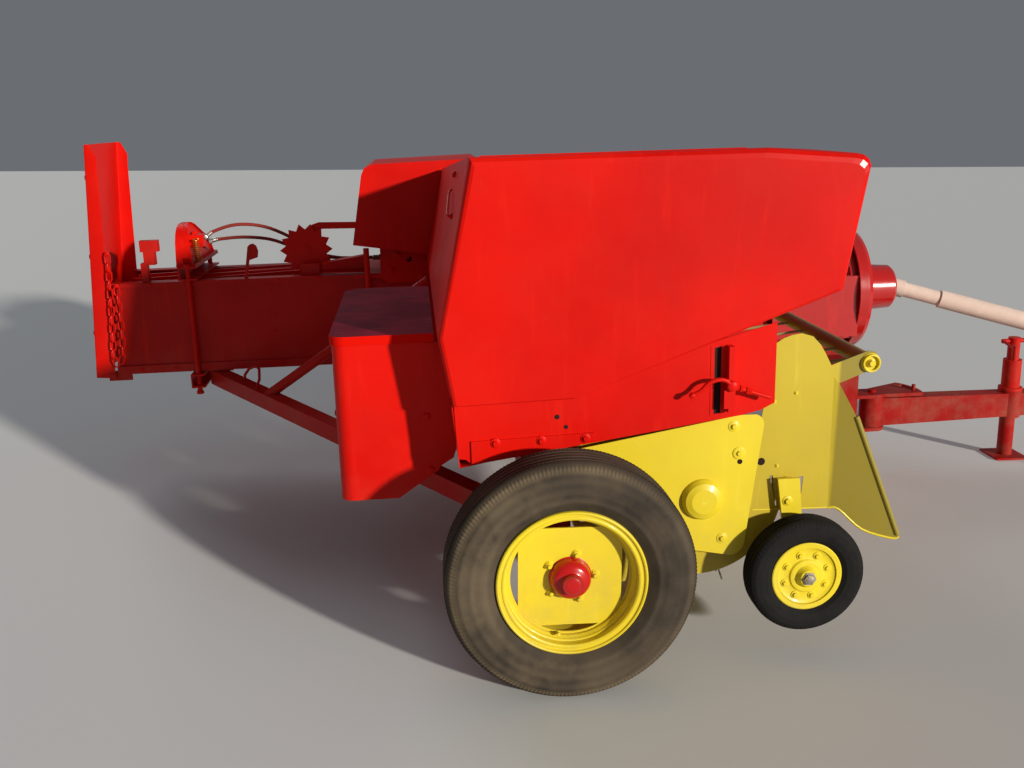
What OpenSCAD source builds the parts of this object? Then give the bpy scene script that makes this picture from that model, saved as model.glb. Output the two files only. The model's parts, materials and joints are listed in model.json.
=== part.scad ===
/* [Wheels] */
// Diameter of the main tyres
tyre_d = 710; // [660:5:740]
// Width of the main tyres
tyre_w = 180; // [160:5:190]
// Distance over the outer faces of the main tyres
over_w = 2840; // [2800:10:2900]
// Diameter over the rim flanges of the main wheels
rim_d = 425; // [405:5:440]
// Diameter of the wheel spindles
spindle_d = 45; // [38:1:52]
// Diameter of the gauge tyre
gauge_d = 356; // [330:2:370]
// Width of the gauge tyre
gauge_w = 92; // [80:2:100]

/* [Stance] */
// How far the nose stands up when parked, in degrees
nose_up = 1.6; // [0.5:0.1:2]
// Square section of the axle
axle_s = 80; // [70:2:90]

/* [Bale chamber] */
// Inside width of the bale chamber
chamber_w = 460; // [440:5:480]
// Height over the bale chamber
chamber_h = 409; // [390:1:420]
// Thickness of the chamber walls
wall = 5; // [4:0.5:7]
// Underside of the chamber above the axle centre
chamber_z = 175; // [165:1:185]
// Rear end of the bale case, behind the axle
case_back = 1745; // [1700:5:1790]
// Front end of the chamber, ahead of the axle
chamber_front_x = 1250; // [1200:5:1300]
// Gap between the left tyre and the chamber
left_gap = 90; // [80:1:100]

/* [Bale chute] */
// Length of the chute floor
chute_l = 1020; // [900:10:1060]
// Depth of the chute side flanges
chute_flange = 85; // [70:1:95]
// Forward lean of the folded chute, in degrees
chute_lean = 4; // [2:0.5:5]

/* [Housing] */
// Gap between the right tyre and the side shield
shield_gap = 60; // [50:1:70]
// Fall of the housing roof from the shield to its left end
roof_fall = 112; // [60:1:120]
// Sheet thickness of covers and boxes
sheet = 3; // [2:0.5:4]
// Gap between the feeder housing and the chamber
housing_gap = 80; // [60:5:100]
// Height of the roof above the axle centre
roof_z = 1150; // [1120:5:1180]

/* [Pickup] */
// Reel centre ahead of the axle
reel_x = 434; // [430:1:440]
// Reel centre above the axle centre
reel_z = 124; // [118:1:130]
// Outer radius of the stripper bands
band_r = 260; // [250:1:268]
// Radius of the tine tips
tip_r = 348; // [335:1:350]
// Radius of the tine bars
bar_r = 105; // [95:1:115]
// Distance between tines along a bar
tine_pitch = 64; // [58:1:66]
// Number of tine bars
bar_n = 5; // [4:1:6]
// Width of a stripper band
band_w = 44; // [36:1:46]
// Gap between the right tyre and the right pickup side
pickup_gap = 148; // [140:1:156]
// Gap between the left pickup side and the chamber
pickup_left_gap = 200; // [180:5:220]

/* [Tongue] */
// Front end of the tongue, ahead of the axle
tongue_front = 3000; // [2900:10:3100]
// Tongue centre line, left of the centre line
tongue_y = 580; // [560:5:600]
// Pivot of the tongue, ahead of the axle
pivot_x = 1740; // [1730:5:1760]
// Depth of the tongue at its pivot end
tongue_h = 145; // [130:1:150]
// Depth of the tongue at its front end
tongue_tip_h = 96; // [85:1:110]
// Width of the tongue
tongue_w = 90; // [84:1:100]
// Hitch pin hole
hitch_d = 27; // [22:1:32]

/* [Flywheel] */
// Diameter of the flywheel
flywheel_d = 520; // [480:5:540]
// Front face of the flywheel shield, ahead of the axle
shield_front = 1748; // [1745:1:1765]

/* [Hidden] */
$fn = 64;

// Seat between two pieces that only touch
seat = 0.3;
// Clearance of a shaft in its bore, on the diameter
run = 0.1;
red = "#d8200f";
yellow = "#f0c818";
dark = "#2a2622";
steel = "#8a8a88";

axle_z = tyre_d / 2;
wheel_y = (over_w - tyre_w) / 2;
tyre_in = over_w / 2 - tyre_w;
chamber_y = tyre_in - left_gap - chamber_w - 2 * wall;
shield_y = tyre_in - shield_gap;
pickup_y = tyre_in - pickup_gap;
pickup_left = chamber_y - pickup_left_gap;
housing_left = chamber_y - housing_gap;
case_top = chamber_z + chamber_h;
case_y = chamber_y + chamber_w + 2 * wall;
case_mid_y = (chamber_y + case_y) / 2;
chute_back = case_back + 95;
x_mid = (tongue_front - chute_back) / 2;
axle_end = wheel_y - 115;

// Stands the body on its axle with the nose up, over the middle of its length
module stand() {
    translate([-x_mid, 0, axle_z]) rotate([0, -nose_up, 0]) children();
}

// Draws a side outline, x forward and z up, from y0 to y1
module span_y(y0, y1) {
    translate([0, y1, 0]) rotate([90, 0, 0]) linear_extrude(y1 - y0) children();
}

// Round bar between two points
module bar(p, q, d) {
    v = q - p;
    translate(p) rotate([0, acos(v[2] / norm(v)), atan2(v[1], v[0])]) cylinder(d = d, h = norm(v));
}

// Square bar between two points
module square_bar(p, q, s) {
    v = q - p;
    translate(p) rotate([0, acos(v[2] / norm(v)), atan2(v[1], v[0])]) translate([-s / 2, -s / 2, 0])
        cube([s, s, norm(v)]);
}

// Box from its low corner to its high corner
module block(lo, hi) {
    translate(lo) cube(hi - lo);
}

// Round disc or pin along y
module pin_y(x, z, y0, y1, d) {
    translate([x, y1, z]) rotate([90, 0, 0]) cylinder(d = d, h = y1 - y0);
}

// Points of an arc in the x z plane, angles from the x axis
function arc(cx, cz, r, a0, a1, n) = [for (i = [0 : n]) let (a = a0 + (a1 - a0) * i / n)
    [cx + r * cos(a), cz + r * sin(a)]];

// Ring section of a tyre: distance from the axis and from the middle plane
function tyre_side(r, w, bead, bead_w) = let (s = 0.8 * r - bead) [[bead, bead_w], [bead + 0.24 * s, bead_w],
    [bead + 0.56 * s, w * 0.46], [r * 0.80, w * 0.5], [r * 0.893, w * 0.485], [r * 0.961, w * 0.42],
    [r * 0.989, w * 0.34], [r, w * 0.25]];
function flip(p) = [for (i = [len(p) - 1 : -1 : 0]) [p[i][0], -p[i][1]]];
module tyre_section(r, w, bead, bead_w) {
    polygon(concat(tyre_side(r, w, bead, bead_w), flip(tyre_side(r, w, bead, bead_w))));
}

/* Wheels, drawn with their axis along z and the outer side up */
rim_r = rim_d / 2;
rim_half = 68;
module main_tyre() {
    color(dark) rotate_extrude($fn = 48) tyre_section(tyre_d / 2, tyre_w, rim_r - 21, rim_half - 6);
}
module rim_ring(r, half, deep) {
    rotate_extrude() polygon([[r - 3, half], [r, half - 2], [r, half - 5], [r - 21.5, half - 5.5],
        [r - 22, half - 22], [r - deep, half - 36], [r - deep, -half + 36], [r - 22, -half + 22],
        [r - 21.5, -half + 5.5], [r, -half + 5], [r, -half + 2], [r - 3, -half], [r - 26, -half + 2],
        [r - 27, -half + 22], [r - deep - 4, -half + 38], [r - deep - 4, half - 38], [r - 27, half - 22],
        [r - 26, half - 2]]);
}
disc_z = 14;
hub_in = -95;
module main_rim() {
    color(yellow) {
        rim_ring(rim_r, rim_half, 34);
        difference() {
            translate([0, 0, disc_z]) cylinder(r = rim_r - 35, h = 6);
            for (a = [0 : 90 : 270]) rotate(a) translate([0, 0, disc_z - 1]) linear_extrude(8) difference() {
                circle(r = rim_r - 44);
                translate([-rim_r, -rim_r]) square([rim_r + rim_r - 66, 2 * rim_r]);
            }
            translate([0, 0, disc_z - 1]) cylinder(d = 88, h = 8);
        }
    }
    color(red) difference() {
        union() {
            translate([0, 0, hub_in]) cylinder(d = 84, h = disc_z - hub_in + 1);
            translate([0, 0, disc_z - 12]) cylinder(d = 168, h = 12);
            translate([0, 0, disc_z]) cylinder(d = 114, h = 20);
            translate([0, 0, disc_z + 20]) cylinder(d1 = 100, d2 = 70, h = 28);
            translate([0, 0, disc_z + 48]) cylinder(d = 56, h = 22);
        }
        translate([0, 0, hub_in - 1]) cylinder(d = spindle_d + run, h = 62 - hub_in + 1);
    }
}
module on_right() {
    translate([-x_mid, -wheel_y, axle_z]) rotate([90, 0, 0]) children();
}
module on_left() {
    translate([-x_mid, wheel_y, axle_z]) rotate([-90, 0, 0]) children();
}
module right_tyre() on_right() main_tyre();
module left_tyre() on_left() main_tyre();
module right_rim() on_right() main_rim();
module left_rim() on_left() main_rim();

/* Axle, with the columns that carry the pickup pivot */
pick_x = 70;
pick_z = 245;
spigot_d = 30;
lug_right = pickup_y + 13;
lug_left = pickup_left + 17;
rail_z = 95;
rail_h = chamber_z - rail_z;
module axle() {
    color(red) stand() difference() {
        union() {
            block([-axle_s / 2, -axle_end, -axle_s / 2], [axle_s / 2, axle_end, axle_s / 2]);
            pin_y(0, 0, -wheel_y - 58, wheel_y + 58, spindle_d);
            for (y = [-lug_right - 25, lug_left]) {
                block([-axle_s / 2, y, 0], [axle_s / 2 - 4, y + 25, pick_z + 32]);
                block([0, y, pick_z - 32], [pick_x, y + 25, pick_z + 32]);
                pin_y(pick_x, pick_z, y, y + 25, 64);
            }
            for (y = [chamber_y + 20, case_y - 80]) block([-35, y, 0], [35, y + 60, rail_z]);
        }
        for (y = [-lug_right - 26, lug_left - 1]) pin_y(pick_x, pick_z, y, y + 27, spigot_d + run);
    }
}

/* Main frame under the chamber, with the bracket of the tongue pivot */
pivot_z = -155;
rail_front = 1640;
pin_d = 38;
lug_t = 16;
latch_r = 205;
module main_frame() {
    color(red) stand() difference() {
        union() {
            for (y = [chamber_y + 20, case_y - 80]) block([-120, y, rail_z], [rail_front, y + 60, chamber_z]);
            block([1500, tongue_y - 70, rail_z - 60], [rail_front, case_y - 20, rail_z]);
            block([1500, tongue_y - 70, pivot_z - tongue_h / 2 - lug_t - 1], [rail_front, tongue_y + 70, rail_z]);
            translate([0, 0, pivot_z + tongue_h / 2 + 1]) linear_extrude(lug_t) polygon(concat([[pivot_x, tongue_y - 50]],
                [for (a = [-14 : 4 : 38]) [pivot_x, tongue_y] + (latch_r + 28) * [cos(a), sin(a)]],
                [[pivot_x, tongue_y + 60]]));
            for (z = [pivot_z - tongue_h / 2 - lug_t - 1, pivot_z + tongue_h / 2 + 1]) {
                block([rail_front - 1, tongue_y - 60, z], [pivot_x, tongue_y + 60, z + lug_t]);
                translate([pivot_x, tongue_y, z]) cylinder(d = 120, h = lug_t);
            }
            translate([pivot_x, tongue_y, pivot_z - tongue_h / 2 - 30]) cylinder(d = pin_d, h = tongue_h + 60);
        }
        for (y = [chamber_y + 28, case_y - 72]) block([-121, y, rail_z + 6], [1499, y + 44, chamber_z - 6]);
        translate([0, 0, pivot_z]) linear_extrude(tongue_h) polygon([for (r = [latch_r - 15, latch_r + 15])
            each [for (k = [0 : 9]) let (a = r < latch_r ? -4 + 3.4 * k : 26.6 - 3.4 * k)
                [pivot_x, tongue_y] + r * [cos(a), sin(a)]]]);
    }
}

/* Diagonal brace from the axle to the tail of the case, with its round strut */
beam_s = 65;
beam_ends = [[-1320, chamber_y + 40, chamber_z - beam_s / 2 - 6], [30, 135 - axle_end, 0]];
function on_beam(f) = beam_ends[0] + f * (beam_ends[1] - beam_ends[0]);
rod_loop = [on_beam(0.1) + [-6, 5, -5], on_beam(0.11) + [6, 8, 25], on_beam(0.12) + [-4, 16, 61], on_beam(0.133) + [0, 24, 92],
    on_beam(0.148) + [16, 28, 114], on_beam(0.165) + [10, 28, 106], on_beam(0.178) + [-7, 30, 69], on_beam(0.19) + [-36, 32, 34],
    on_beam(0.195) + [-52, 31, 4]];
module brace_beam() {
    color(red) stand() {
        difference() {
            square_bar(beam_ends[0], beam_ends[1], beam_s);
            block([-axle_s / 2 - seat, -1200, -100], [200, 0, 100]);
        }
        block([-1380, chamber_y + 2, chamber_z - 8], [-1240, chamber_y + 80, chamber_z - seat]);
        bar(on_beam(0.204) + [0, -18, 21], [-338, 240, 610], 42);
        for (i = [0 : len(rod_loop) - 2]) bar(rod_loop[i], rod_loop[i + 1], 12);
        for (i = [1 : len(rod_loop) - 2]) translate(rod_loop[i]) sphere(d = 12.6);
    }
}

/* Bale case: open rails on top, slotted floor */
needle_y = [chamber_y + 120, case_y - 120];
needle_x = -710;
needle_z = 345;
needle_r = 400;
split_x = -280;
edge_rail = 56;
module bale_case() {
    color(red) stand() difference() {
        union() {
            for (y = [chamber_y, case_y - wall]) block([-case_back, y, chamber_z], [split_x, y + wall, case_top]);
            block([-case_back, chamber_y, chamber_z], [split_x, case_y, chamber_z + wall]);
            for (y = [chamber_y, case_y - edge_rail])
                block([-case_back, y, case_top - wall], [split_x, y + edge_rail, case_top]);
            block([-700, chamber_y, case_top - wall], [split_x, case_y, case_top]);
            for (y = [chamber_y - 10, case_y]) {
                block([-case_back, y, chamber_z], [split_x, y + 10, chamber_z + 36]);
                block([-case_back, y, case_top - 22], [split_x, y + 10, case_top]);
                pin_y(needle_x, needle_z, y - 2, y + 12, 70);
                block([-case_back - 40, y, chute_z - 22], [-case_back + 60, y + 10, chute_z + 22]);
            }
            pin_y(chute_x, chute_z, chamber_y - 26, chamber_y - 9, 20);
            pin_y(chute_x, chute_z, case_y + 9, case_y + 26, 20);
            pin_y(needle_x, needle_z, chamber_y - 40, chamber_y + 1, 30);
            pin_y(needle_x, needle_z, case_y - 1, case_y + 40, 30);
            span_y(chamber_y + 4, chamber_y + 12) polygon([[-1152, case_top - 1], [-1138, case_top - 1], [-1124, 664],
                [-1086, 676], [-1082, 703], [-1089, 727], [-1102, 737], [-1117, 734], [-1127, 724], [-1136, 672]]);
            block([-905, chamber_y + 38, case_top - 1], [-823, chamber_y + 44, 634]);
            block([-1596, chamber_y + 4, case_top - 1], [-1568, chamber_y + 44, 668]);
            block([-1580, chamber_y + 4, 660], [-1532, chamber_y + 44, 722]);
            block([-1592, chamber_y + 4, 718], [-1514, chamber_y + 44, 767]);
        }
        for (y = needle_y) {
            block([-374, y - 15, chamber_z - 1], [-316, y + 15, chamber_z + wall + 1]);
            block([-420, y - 15, case_top - wall - 1], [-352, y + 15, case_top + 1]);
        }
        block([-1600, case_mid_y - 60, chamber_z - 1], [-760, case_mid_y - 40, chamber_z + wall + 1]);
        block([-1600, case_mid_y + 40, chamber_z - 1], [-760, case_mid_y + 60, chamber_z + wall + 1]);
    }
}

/* Front of the chamber with the feed opening */
feed = [[-200, 215], [430, 540]];
module chamber_front() {
    color(red) stand() difference() {
        union() {
            for (y = [chamber_y, case_y - wall])
                block([split_x, y, chamber_z], [chamber_front_x, y + wall, case_top]);
            block([split_x, chamber_y, chamber_z], [chamber_front_x, case_y, chamber_z + wall]);
            block([split_x, chamber_y, case_top - wall], [chamber_front_x, case_y, case_top]);
            for (y = [chamber_y - 10, case_y]) {
                block([split_x, y, chamber_z], [chamber_front_x, y + 10, chamber_z + 36]);
                block([split_x, y, case_top - 22], [chamber_front_x, y + 10, case_top]);
            }
            block([chamber_front_x - 12, chamber_y, chamber_z], [chamber_front_x, case_y, case_top]);
        }
        block([feed[0][0], chamber_y - 1, feed[0][1]], [feed[1][0], chamber_y + wall + 1, feed[1][1]]);
        block([700, chamber_y - 1, 240], [1100, chamber_y + wall + 1, 500]);
        block([700, case_y - wall - 1, 240], [1100, case_y + 1, 500]);
        for (y = needle_y) block([split_x - 1, y - 12, chamber_z + 60], [split_x + 20, y + 12, chamber_z + 61]);
    }
}

/* Tension rails that squeeze the bale, low at the tail */
head_x = -1390;
head_half = 40;
head_gap = 6;
rib_fall = 0.028;
function rib_top(x) = case_top + head_gap - seat + (x - head_x - head_half) * rib_fall;
module tension_rails() {
    color(red) stand() for (y = [case_mid_y - 105, case_mid_y + 25]) {
        span_y(y, y + 80) polygon([[-case_back + 30, case_top - 48], [-820, case_top - wall - 4],
            [-820, case_top + 14], [-case_back + 30, case_top - 22]]);
        span_y(y + 34, y + 46) polygon([[-case_back + 60, case_top - 26], [-840, case_top + 10],
            [-900, rib_top(-900)], [-case_back + 60, rib_top(60 - case_back)]]);
    }
}

/* Tension head over the tail, with its cylinder and the bracket behind it */
module tension_head() {
    color(red) stand() {
        difference() {
            block([head_x - head_half, chamber_y - 40, case_top + head_gap],
                [head_x + head_half, case_y + 40, case_top + 66]);
            block([head_x - 32, chamber_y - 41, case_top + 14], [head_x + 41, case_y + 41, case_top + 58]);
            for (y = [chamber_y - 24, case_y + 24]) translate([head_x, y, case_top]) cylinder(d = 22.6, h = 80);
        }
        span_y(chamber_y + 20, chamber_y + 150) polygon([[head_x - 58, case_top + 66 + seat],
            [head_x + 96, case_top + 66 + seat], [head_x + 78, case_top + 154], [head_x + 48, case_top + 208],
            [head_x + 4, case_top + 242], [head_x - 16, case_top + 240], [head_x - 49, case_top + 168]]);
        translate([head_x - 8, case_mid_y + 40, case_top + 66 + seat]) cylinder(d = 70, h = 110);
        translate([head_x - 8, case_mid_y + 40, case_top + 176]) cylinder(d = 40, h = 30);
    }
}
module tension_rods() {
    color(red) stand() {
        for (y = [chamber_y - 24, case_y + 24]) {
            translate([head_x, y, chamber_z - 90]) cylinder(d = 22, h = chamber_h + 170);
            translate([head_x, y, case_top + 66 + seat]) cylinder(d = 40, h = 12);
        }
        difference() {
            block([head_x - 30, chamber_y - 50, chamber_z - 70], [head_x + 30, case_y + 50, chamber_z - 8 - seat]);
            block([head_x - 24, chamber_y - 51, chamber_z - 62], [head_x + 31, case_y + 51, chamber_z - 16]);
        }
        block([head_x - 20, case_mid_y - 90, chamber_z - 8 - seat], [head_x + 20, case_mid_y + 90, chamber_z - seat]);
    }
}

// Sweeps a round section of n sides along a route
function unit(v) = v / norm(v);
function along(p, i) = unit(p[min(i + 1, len(p) - 1)] - p[max(i - 1, 0)]);
function ring(c, t, d, n) = let (u = unit(cross(t, [0.02, 1, 0.03])), w = cross(t, u))
    [for (k = [0 : n - 1]) c + d / 2 * (cos(360 * k / n) * u + sin(360 * k / n) * w)];
function bend(p, m) = [for (i = [0 : len(p) - 2], k = [0 : m - 1]) let (t = k / m, a = p[max(i - 1, 0)],
    b = p[i], c = p[i + 1], e = p[min(i + 2, len(p) - 1)])
    0.5 * (2 * b + (c - a) * t + (2 * a - 5 * b + 4 * c - e) * t * t + (3 * b - a - 3 * c + e) * t * t * t)];
module sweep(route, d, n) {
    m = len(route);
    polyhedron(points = [for (i = [0 : m - 1]) each ring(route[i], along(route, i), d, n)],
        faces = concat([[for (k = [0 : n - 1]) k]], [[for (k = [n - 1 : -1 : 0]) (m - 1) * n + k]],
            [for (i = [0 : m - 2], k = [0 : n - 1]) [i * n + k, (i + 1) * n + k, (i + 1) * n + (k + 1) % n]],
            [for (i = [0 : m - 2], k = [0 : n - 1]) [i * n + k, (i + 1) * n + (k + 1) % n, i * n + (k + 1) % n]]));
}

// Two oil hoses from the tension head to the knotter frame, routes chosen by hand
hose_routes = [
    [[-1323, 770, 762], [-1280, 770, 790], [-1180, 775, 815], [-1060, 790, 800], [-940, 815, 740],
     [-840, 832, 670], [-750, 842, 642], [-650, 848, 634], [-546, 850, 632]],
    [[-1312, 800, 742], [-1270, 800, 750], [-1160, 805, 755], [-1040, 820, 738], [-930, 845, 690],
     [-830, 862, 650], [-740, 872, 636], [-650, 878, 632], [-546, 880, 632]]];
module tension_hoses() {
    color("#7a2018") stand() for (r = hose_routes)
        sweep(concat(bend(r, 4), [r[len(r) - 1]]), 15, 8);
}

/* Measuring wheel and its arm */
star_x = -880;
star_z = 690;
star_y = chamber_y + 98;
star_teeth = 14;
module star_wheel() {
    color(red) stand() difference() {
        union() {
            span_y(star_y - 4, star_y + 4) polygon([for (i = [0 : 2 * star_teeth - 1]) let (a = 180 * i / star_teeth,
                r = i % 2 == 0 ? 118 : 92) [star_x + r * cos(a), star_z + r * sin(a)]]);
            pin_y(star_x, star_z, star_y - 10, star_y + 12, 46);
        }
        pin_y(star_x, star_z, star_y - 11, star_y + 13, 20 + run);
    }
}
module star_arm() {
    color(red) stand() {
        pin_y(star_x, star_z, star_y - 16, star_y + 25, 20);
        pin_y(star_x, star_z, star_y + 12 + seat, star_y + 25, 44);
        span_y(star_y + 14, star_y + 22) polygon(concat(arc(star_x, star_z, 24, 150, 340, 8),
            [[star_x + 44, 756], [star_x + 70, 780], [knot_back - 70, 776], [knot_back - seat, 736],
            [knot_back - seat, 803], [star_x + 62, 810], [star_x + 30, 800], [star_x, 762]]));
    }
}

/* Knotter frame over the needle slots */
knot_back = -545;
knot_x = -320;
knot_z = 830;
knot_disc_d = 250;
knot_t = 6;
base_top = case_top + 8;
cover_x = -82;
cover_z = 658;
module knotter_side(y) {
    span_y(y, y + knot_t) polygon(concat(arc(knot_back + 36, case_top - 8, 36, 180, 270, 6),
        [[-130, case_top - 44], [-130, 700], [-230, 900], [-420, 900], [knot_back, 720]]));
    block([-131, y, cover_z - 15], [cover_x, y + knot_t, cover_z + 15]);
    pin_y(cover_x, cover_z, y, y + knot_t, 30);
}
module knotter(y) {
    pin_y(knot_x, knot_z, y + 26, y + 40, knot_disc_d);
    pin_y(knot_x, knot_z, y - 50, y + 60, 76);
    span_y(y - 18, y + 20) polygon([[-290, base_top - 2], [-220, base_top - 2], [-215, 760], [-260, 800],
        [-330, 790], [-330, 740], [-290, 720]]);
    bar([-330, y, 745], [-385, y, 690], 16);
}
module knotter_frame() {
    color(red) stand() difference() {
        union() {
            for (y = [chamber_y - 16, case_y + 10]) {
                knotter_side(y);
                pin_y(knot_x, knot_z, y - 6, y + 12, 90);
            }
            block([knot_back, chamber_y - 12, case_top + seat], [-130, case_y + 12, base_top]);
            block([knot_back, chamber_y - 12, base_top - 1], [knot_back + 8, case_y + 12, 760]);
            pin_y(knot_x, knot_z, chamber_y - 12, case_y + 12, 40);
            pin_y(knot_x - 110, 650, chamber_y - 12, case_y + 12, 26);
            for (y = needle_y) knotter(y);
            bar([-606, chamber_y - 24, case_top - 70], [-606, chamber_y - 24, 700], 26);
            block([-640, chamber_y - 16, case_top - 20], [knot_back + 10, chamber_y - 10, case_top - 4]);
        }
        for (y = needle_y) {
            block([-420, y - 16, case_top - 5], [-352, y + 16, case_top + 60]);
            for (a = [20 : 60 : 320]) pin_y(knot_x + 88 * cos(a), knot_z + 88 * sin(a), y + 25, y + 41, 34);
        }
        for (y = [chamber_y - 17, case_y + 9]) pin_y(cover_x, cover_z, y, y + 8, 10 + run);
        pin_y(-418, 644, chamber_y - 17, chamber_y - 9, 26);
    }
}

/* Knotter cover, hinged at its front foot */
cover_y = [chamber_y - 60, case_y + 62];
cover_front = -58;
module knotter_cover() {
    color(red) stand() {
        difference() {
            span_y(cover_y[0], cover_y[1]) polygon([[cover_front, 640], [cover_front, 1040], [-96, 1078],
                [-560, 1066], [-592, 1050], [-606, 1020], [-660, 720], [-293, 662]]);
            span_y(cover_y[0] + sheet, cover_y[1] - sheet) polygon([[cover_front - sheet, 600],
                [cover_front - sheet, 1038], [-97, 1078 - sheet], [-559, 1066 - sheet], [-589, 1048],
                [-603, 1019], [-656, 720], [-656, 600]]);
            block([-670, star_y + 7, 600], [-600, star_y + 29, 822]);
        }
        for (y = [chamber_y - 8, case_y - 10]) block([cover_x - 14, y, cover_z - 14], [cover_front - 1, y + 18, cover_z + 14]);
        pin_y(cover_x, cover_z, chamber_y - 24, chamber_y - 7, 10);
        pin_y(cover_x, cover_z, case_y + 7, case_y + 24, 10);
    }
}

/* Needle yoke, hung from the pins on the case sides */
needle_base = -98;
needle_tip = -27.5;
needle_arm_t = 13;
module needle_yoke() {
    bx = needle_x + needle_r * cos(needle_base);
    bz = needle_z + needle_r * sin(needle_base);
    color(red) stand() {
        for (y = [chamber_y - 17 - needle_arm_t, case_y + 17]) difference() {
            union() {
                pin_y(needle_x, needle_z, y, y + needle_arm_t, 70);
                span_y(y, y + needle_arm_t) polygon([[needle_x - 22, needle_z], [bx - 18, bz], [bx + 18, bz],
                    [needle_x + 22, needle_z]]);
                pin_y(bx, bz, y, y + needle_arm_t, 60);
            }
            pin_y(needle_x, needle_z, y - 1, y + needle_arm_t + 1, 30 + run);
        }
        pin_y(bx, bz, chamber_y - 20, case_y + 20, 44);
    }
    color(steel) stand() for (y = needle_y) span_y(y - 6, y + 6) polygon(concat(
        arc(needle_x, needle_z, needle_r + 13, needle_base, -40, 12),
        [for (r = [needle_r + 4, needle_r - 4]) [needle_x + r * cos(needle_tip), needle_z + r * sin(needle_tip)]],
        arc(needle_x, needle_z, needle_r - 13, -40, needle_base, 12)));
}

/* Feeder housing: hollow hood over the feeder, rear wall and floor */
hood = [[-230, roof_z], [600, roof_z], [850, roof_z - 22], [872, roof_z - 27], [886, roof_z - 38],
    [892, roof_z - 54], [830, 745], [35, 465],
    [-305, 458], [-336, 656]];
hood_in = [[-228, roof_z + 1], [555, roof_z + 1], [848, roof_z - 25],
    [869, roof_z - 30], [882, roof_z - 40], [888, roof_z - 54], [827, 747], [34, 468.2], [-301, 461], [-333, 656]];
floor_front = [124, 345];
shield_rim = 32;
housing_right = -shield_y + shield_rim + seat;
panel_y = shield_y - 20;
rail_top = 1000;
rail_low = rail_top - 42;
rail_w = 40;
hinge_r = 4;
hinge_at = roof_z - sheet / 2;
knuckle_l = 40;
knuckle_x = [-200 : 2 * knuckle_l + 2 : 460];
knuckle_end = 541;
function roof_at(y) = roof_z - roof_fall * (y - housing_right) / (housing_left - housing_right);
module under_roof(drop) {
    rotate([90, 0, 90]) translate([0, 0, -400]) linear_extrude(1400) polygon([[housing_right - 2, 300],
        [housing_left + 2, 300], [housing_left + 2, roof_at(housing_left + 2) - drop],
        [housing_right - 2, roof_at(housing_right - 2) - drop]]);
}
module knuckles(shift, side) {
    for (x = knuckle_x) translate([x + shift, 0, 0]) {
        pin_x(0, knuckle_l, housing_right, hinge_at, 2 * hinge_r);
        block([0, housing_right + min(0, side * 8), roof_z - sheet], [knuckle_l, housing_right + max(0, side * 8), roof_z]);
    }
}
function wall_x(z) = -290 - 15 * (z - 275) / 183;
module feeder_housing() {
    color(red) stand() {
        difference() {
            intersection() {
                span_y(housing_right, housing_left) polygon(hood);
                under_roof(0);
            }
            intersection() {
                span_y(housing_right - 1, housing_left - sheet) polygon(hood_in);
                under_roof(sheet);
            }
            span_y(housing_right - 1, housing_left + 1) polygon([[-299, 440], [30, 440], [30, 476], [-299, 476]]);
            block([knuckle_x[0] - knuckle_l, housing_right - 1, roof_z - 10],
                [knuckle_end, housing_right + hinge_r + 1, roof_z + 1]);
            block([knuckle_end - 1, housing_right - 1, roof_z - 10], [625, housing_right + 2, roof_z + 1]);
        }
        difference() {
            knuckles(knuckle_l + 1, 1);
            pin_x(-300, 700, housing_right, hinge_at, 4 + run);
        }
        span_y(-panel_y + sheet + seat, chamber_y - seat) polygon([[-302, 464], [-287, 276], floor_front,
            floor_front - [0, 4], [wall_x(271), 271], [wall_x(464), 464]]);
        for (y = [-1000, -400, 200]) block([-rail_w / 2, y, rail_top - 1], [rail_w / 2, y + 40, roof_at(y + 40) - 1]);
        block([-rail_w / 2, 80 - shield_y, rail_low], [rail_w / 2, housing_left - 1, rail_top]);
    }
}

/* Feeder carriage on its rail, with the hanging tines */
car_y = -620;
module feeder_carriage() {
    gap = 2;
    color(red) stand() {
        difference() {
            block([-70, car_y - 90, rail_top - 80], [70, car_y + 90, rail_top - 5]);
            block([-rail_w / 2 - gap, car_y - 91, rail_low - gap], [rail_w / 2 + gap, car_y + 91, rail_top]);
        }
        for (y = [car_y - 60, car_y + 40]) block([-rail_w / 2 - gap - 1, y, rail_low - gap - 1],
            [rail_w / 2 + gap + 1, y + 20, rail_low - seat]);
        block([-155, car_y - 20, rail_top - 130], [60, car_y + 20, rail_top - 79.5]);
        for (x = [-142, -78, -14]) span_y(car_y - 6, car_y + 6) polygon([[x, rail_top - 120], [x + 34, rail_top - 120],
            [x + 26, 560], [x - 4, 395], [x - 16, 400], [x + 4, 560]]);
    }
}

/* End panel under the side shield, with the lift lever */
lever_x = 500;
lever_z = 486;
module end_panel() {
    color(red) stand() {
        difference() {
            span_y(-panel_y, -panel_y + sheet) polygon([[-298, 500], [-298, 440], [wall_x(300), 300], [-270, 297],
                [-252, 280], [543, 387], [600, 400], [640, 420], [640, 660], [40, 500]]);
            span_y(-panel_y - 1, -panel_y + sheet + 1) polygon([[448, 392], [490, 400], [490, 600], [448, 590]]);
        }
        span_y(-panel_y - 6, -panel_y + 1) polygon([[-254, 286], [-235, 286], [104, 331.7], [104, 360], [-254, 352]]);
        block([lever_x - 8, -panel_y - 30, 405], [lever_x + 8, -panel_y + 1, 600]);
        bar([lever_x, -panel_y - 36, lever_z], [lever_x + 114, -panel_y - 36, lever_z - 40], 12);
        pin_y(lever_x, lever_z, -panel_y - 44, -panel_y - 28, 30);
    }
}

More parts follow.
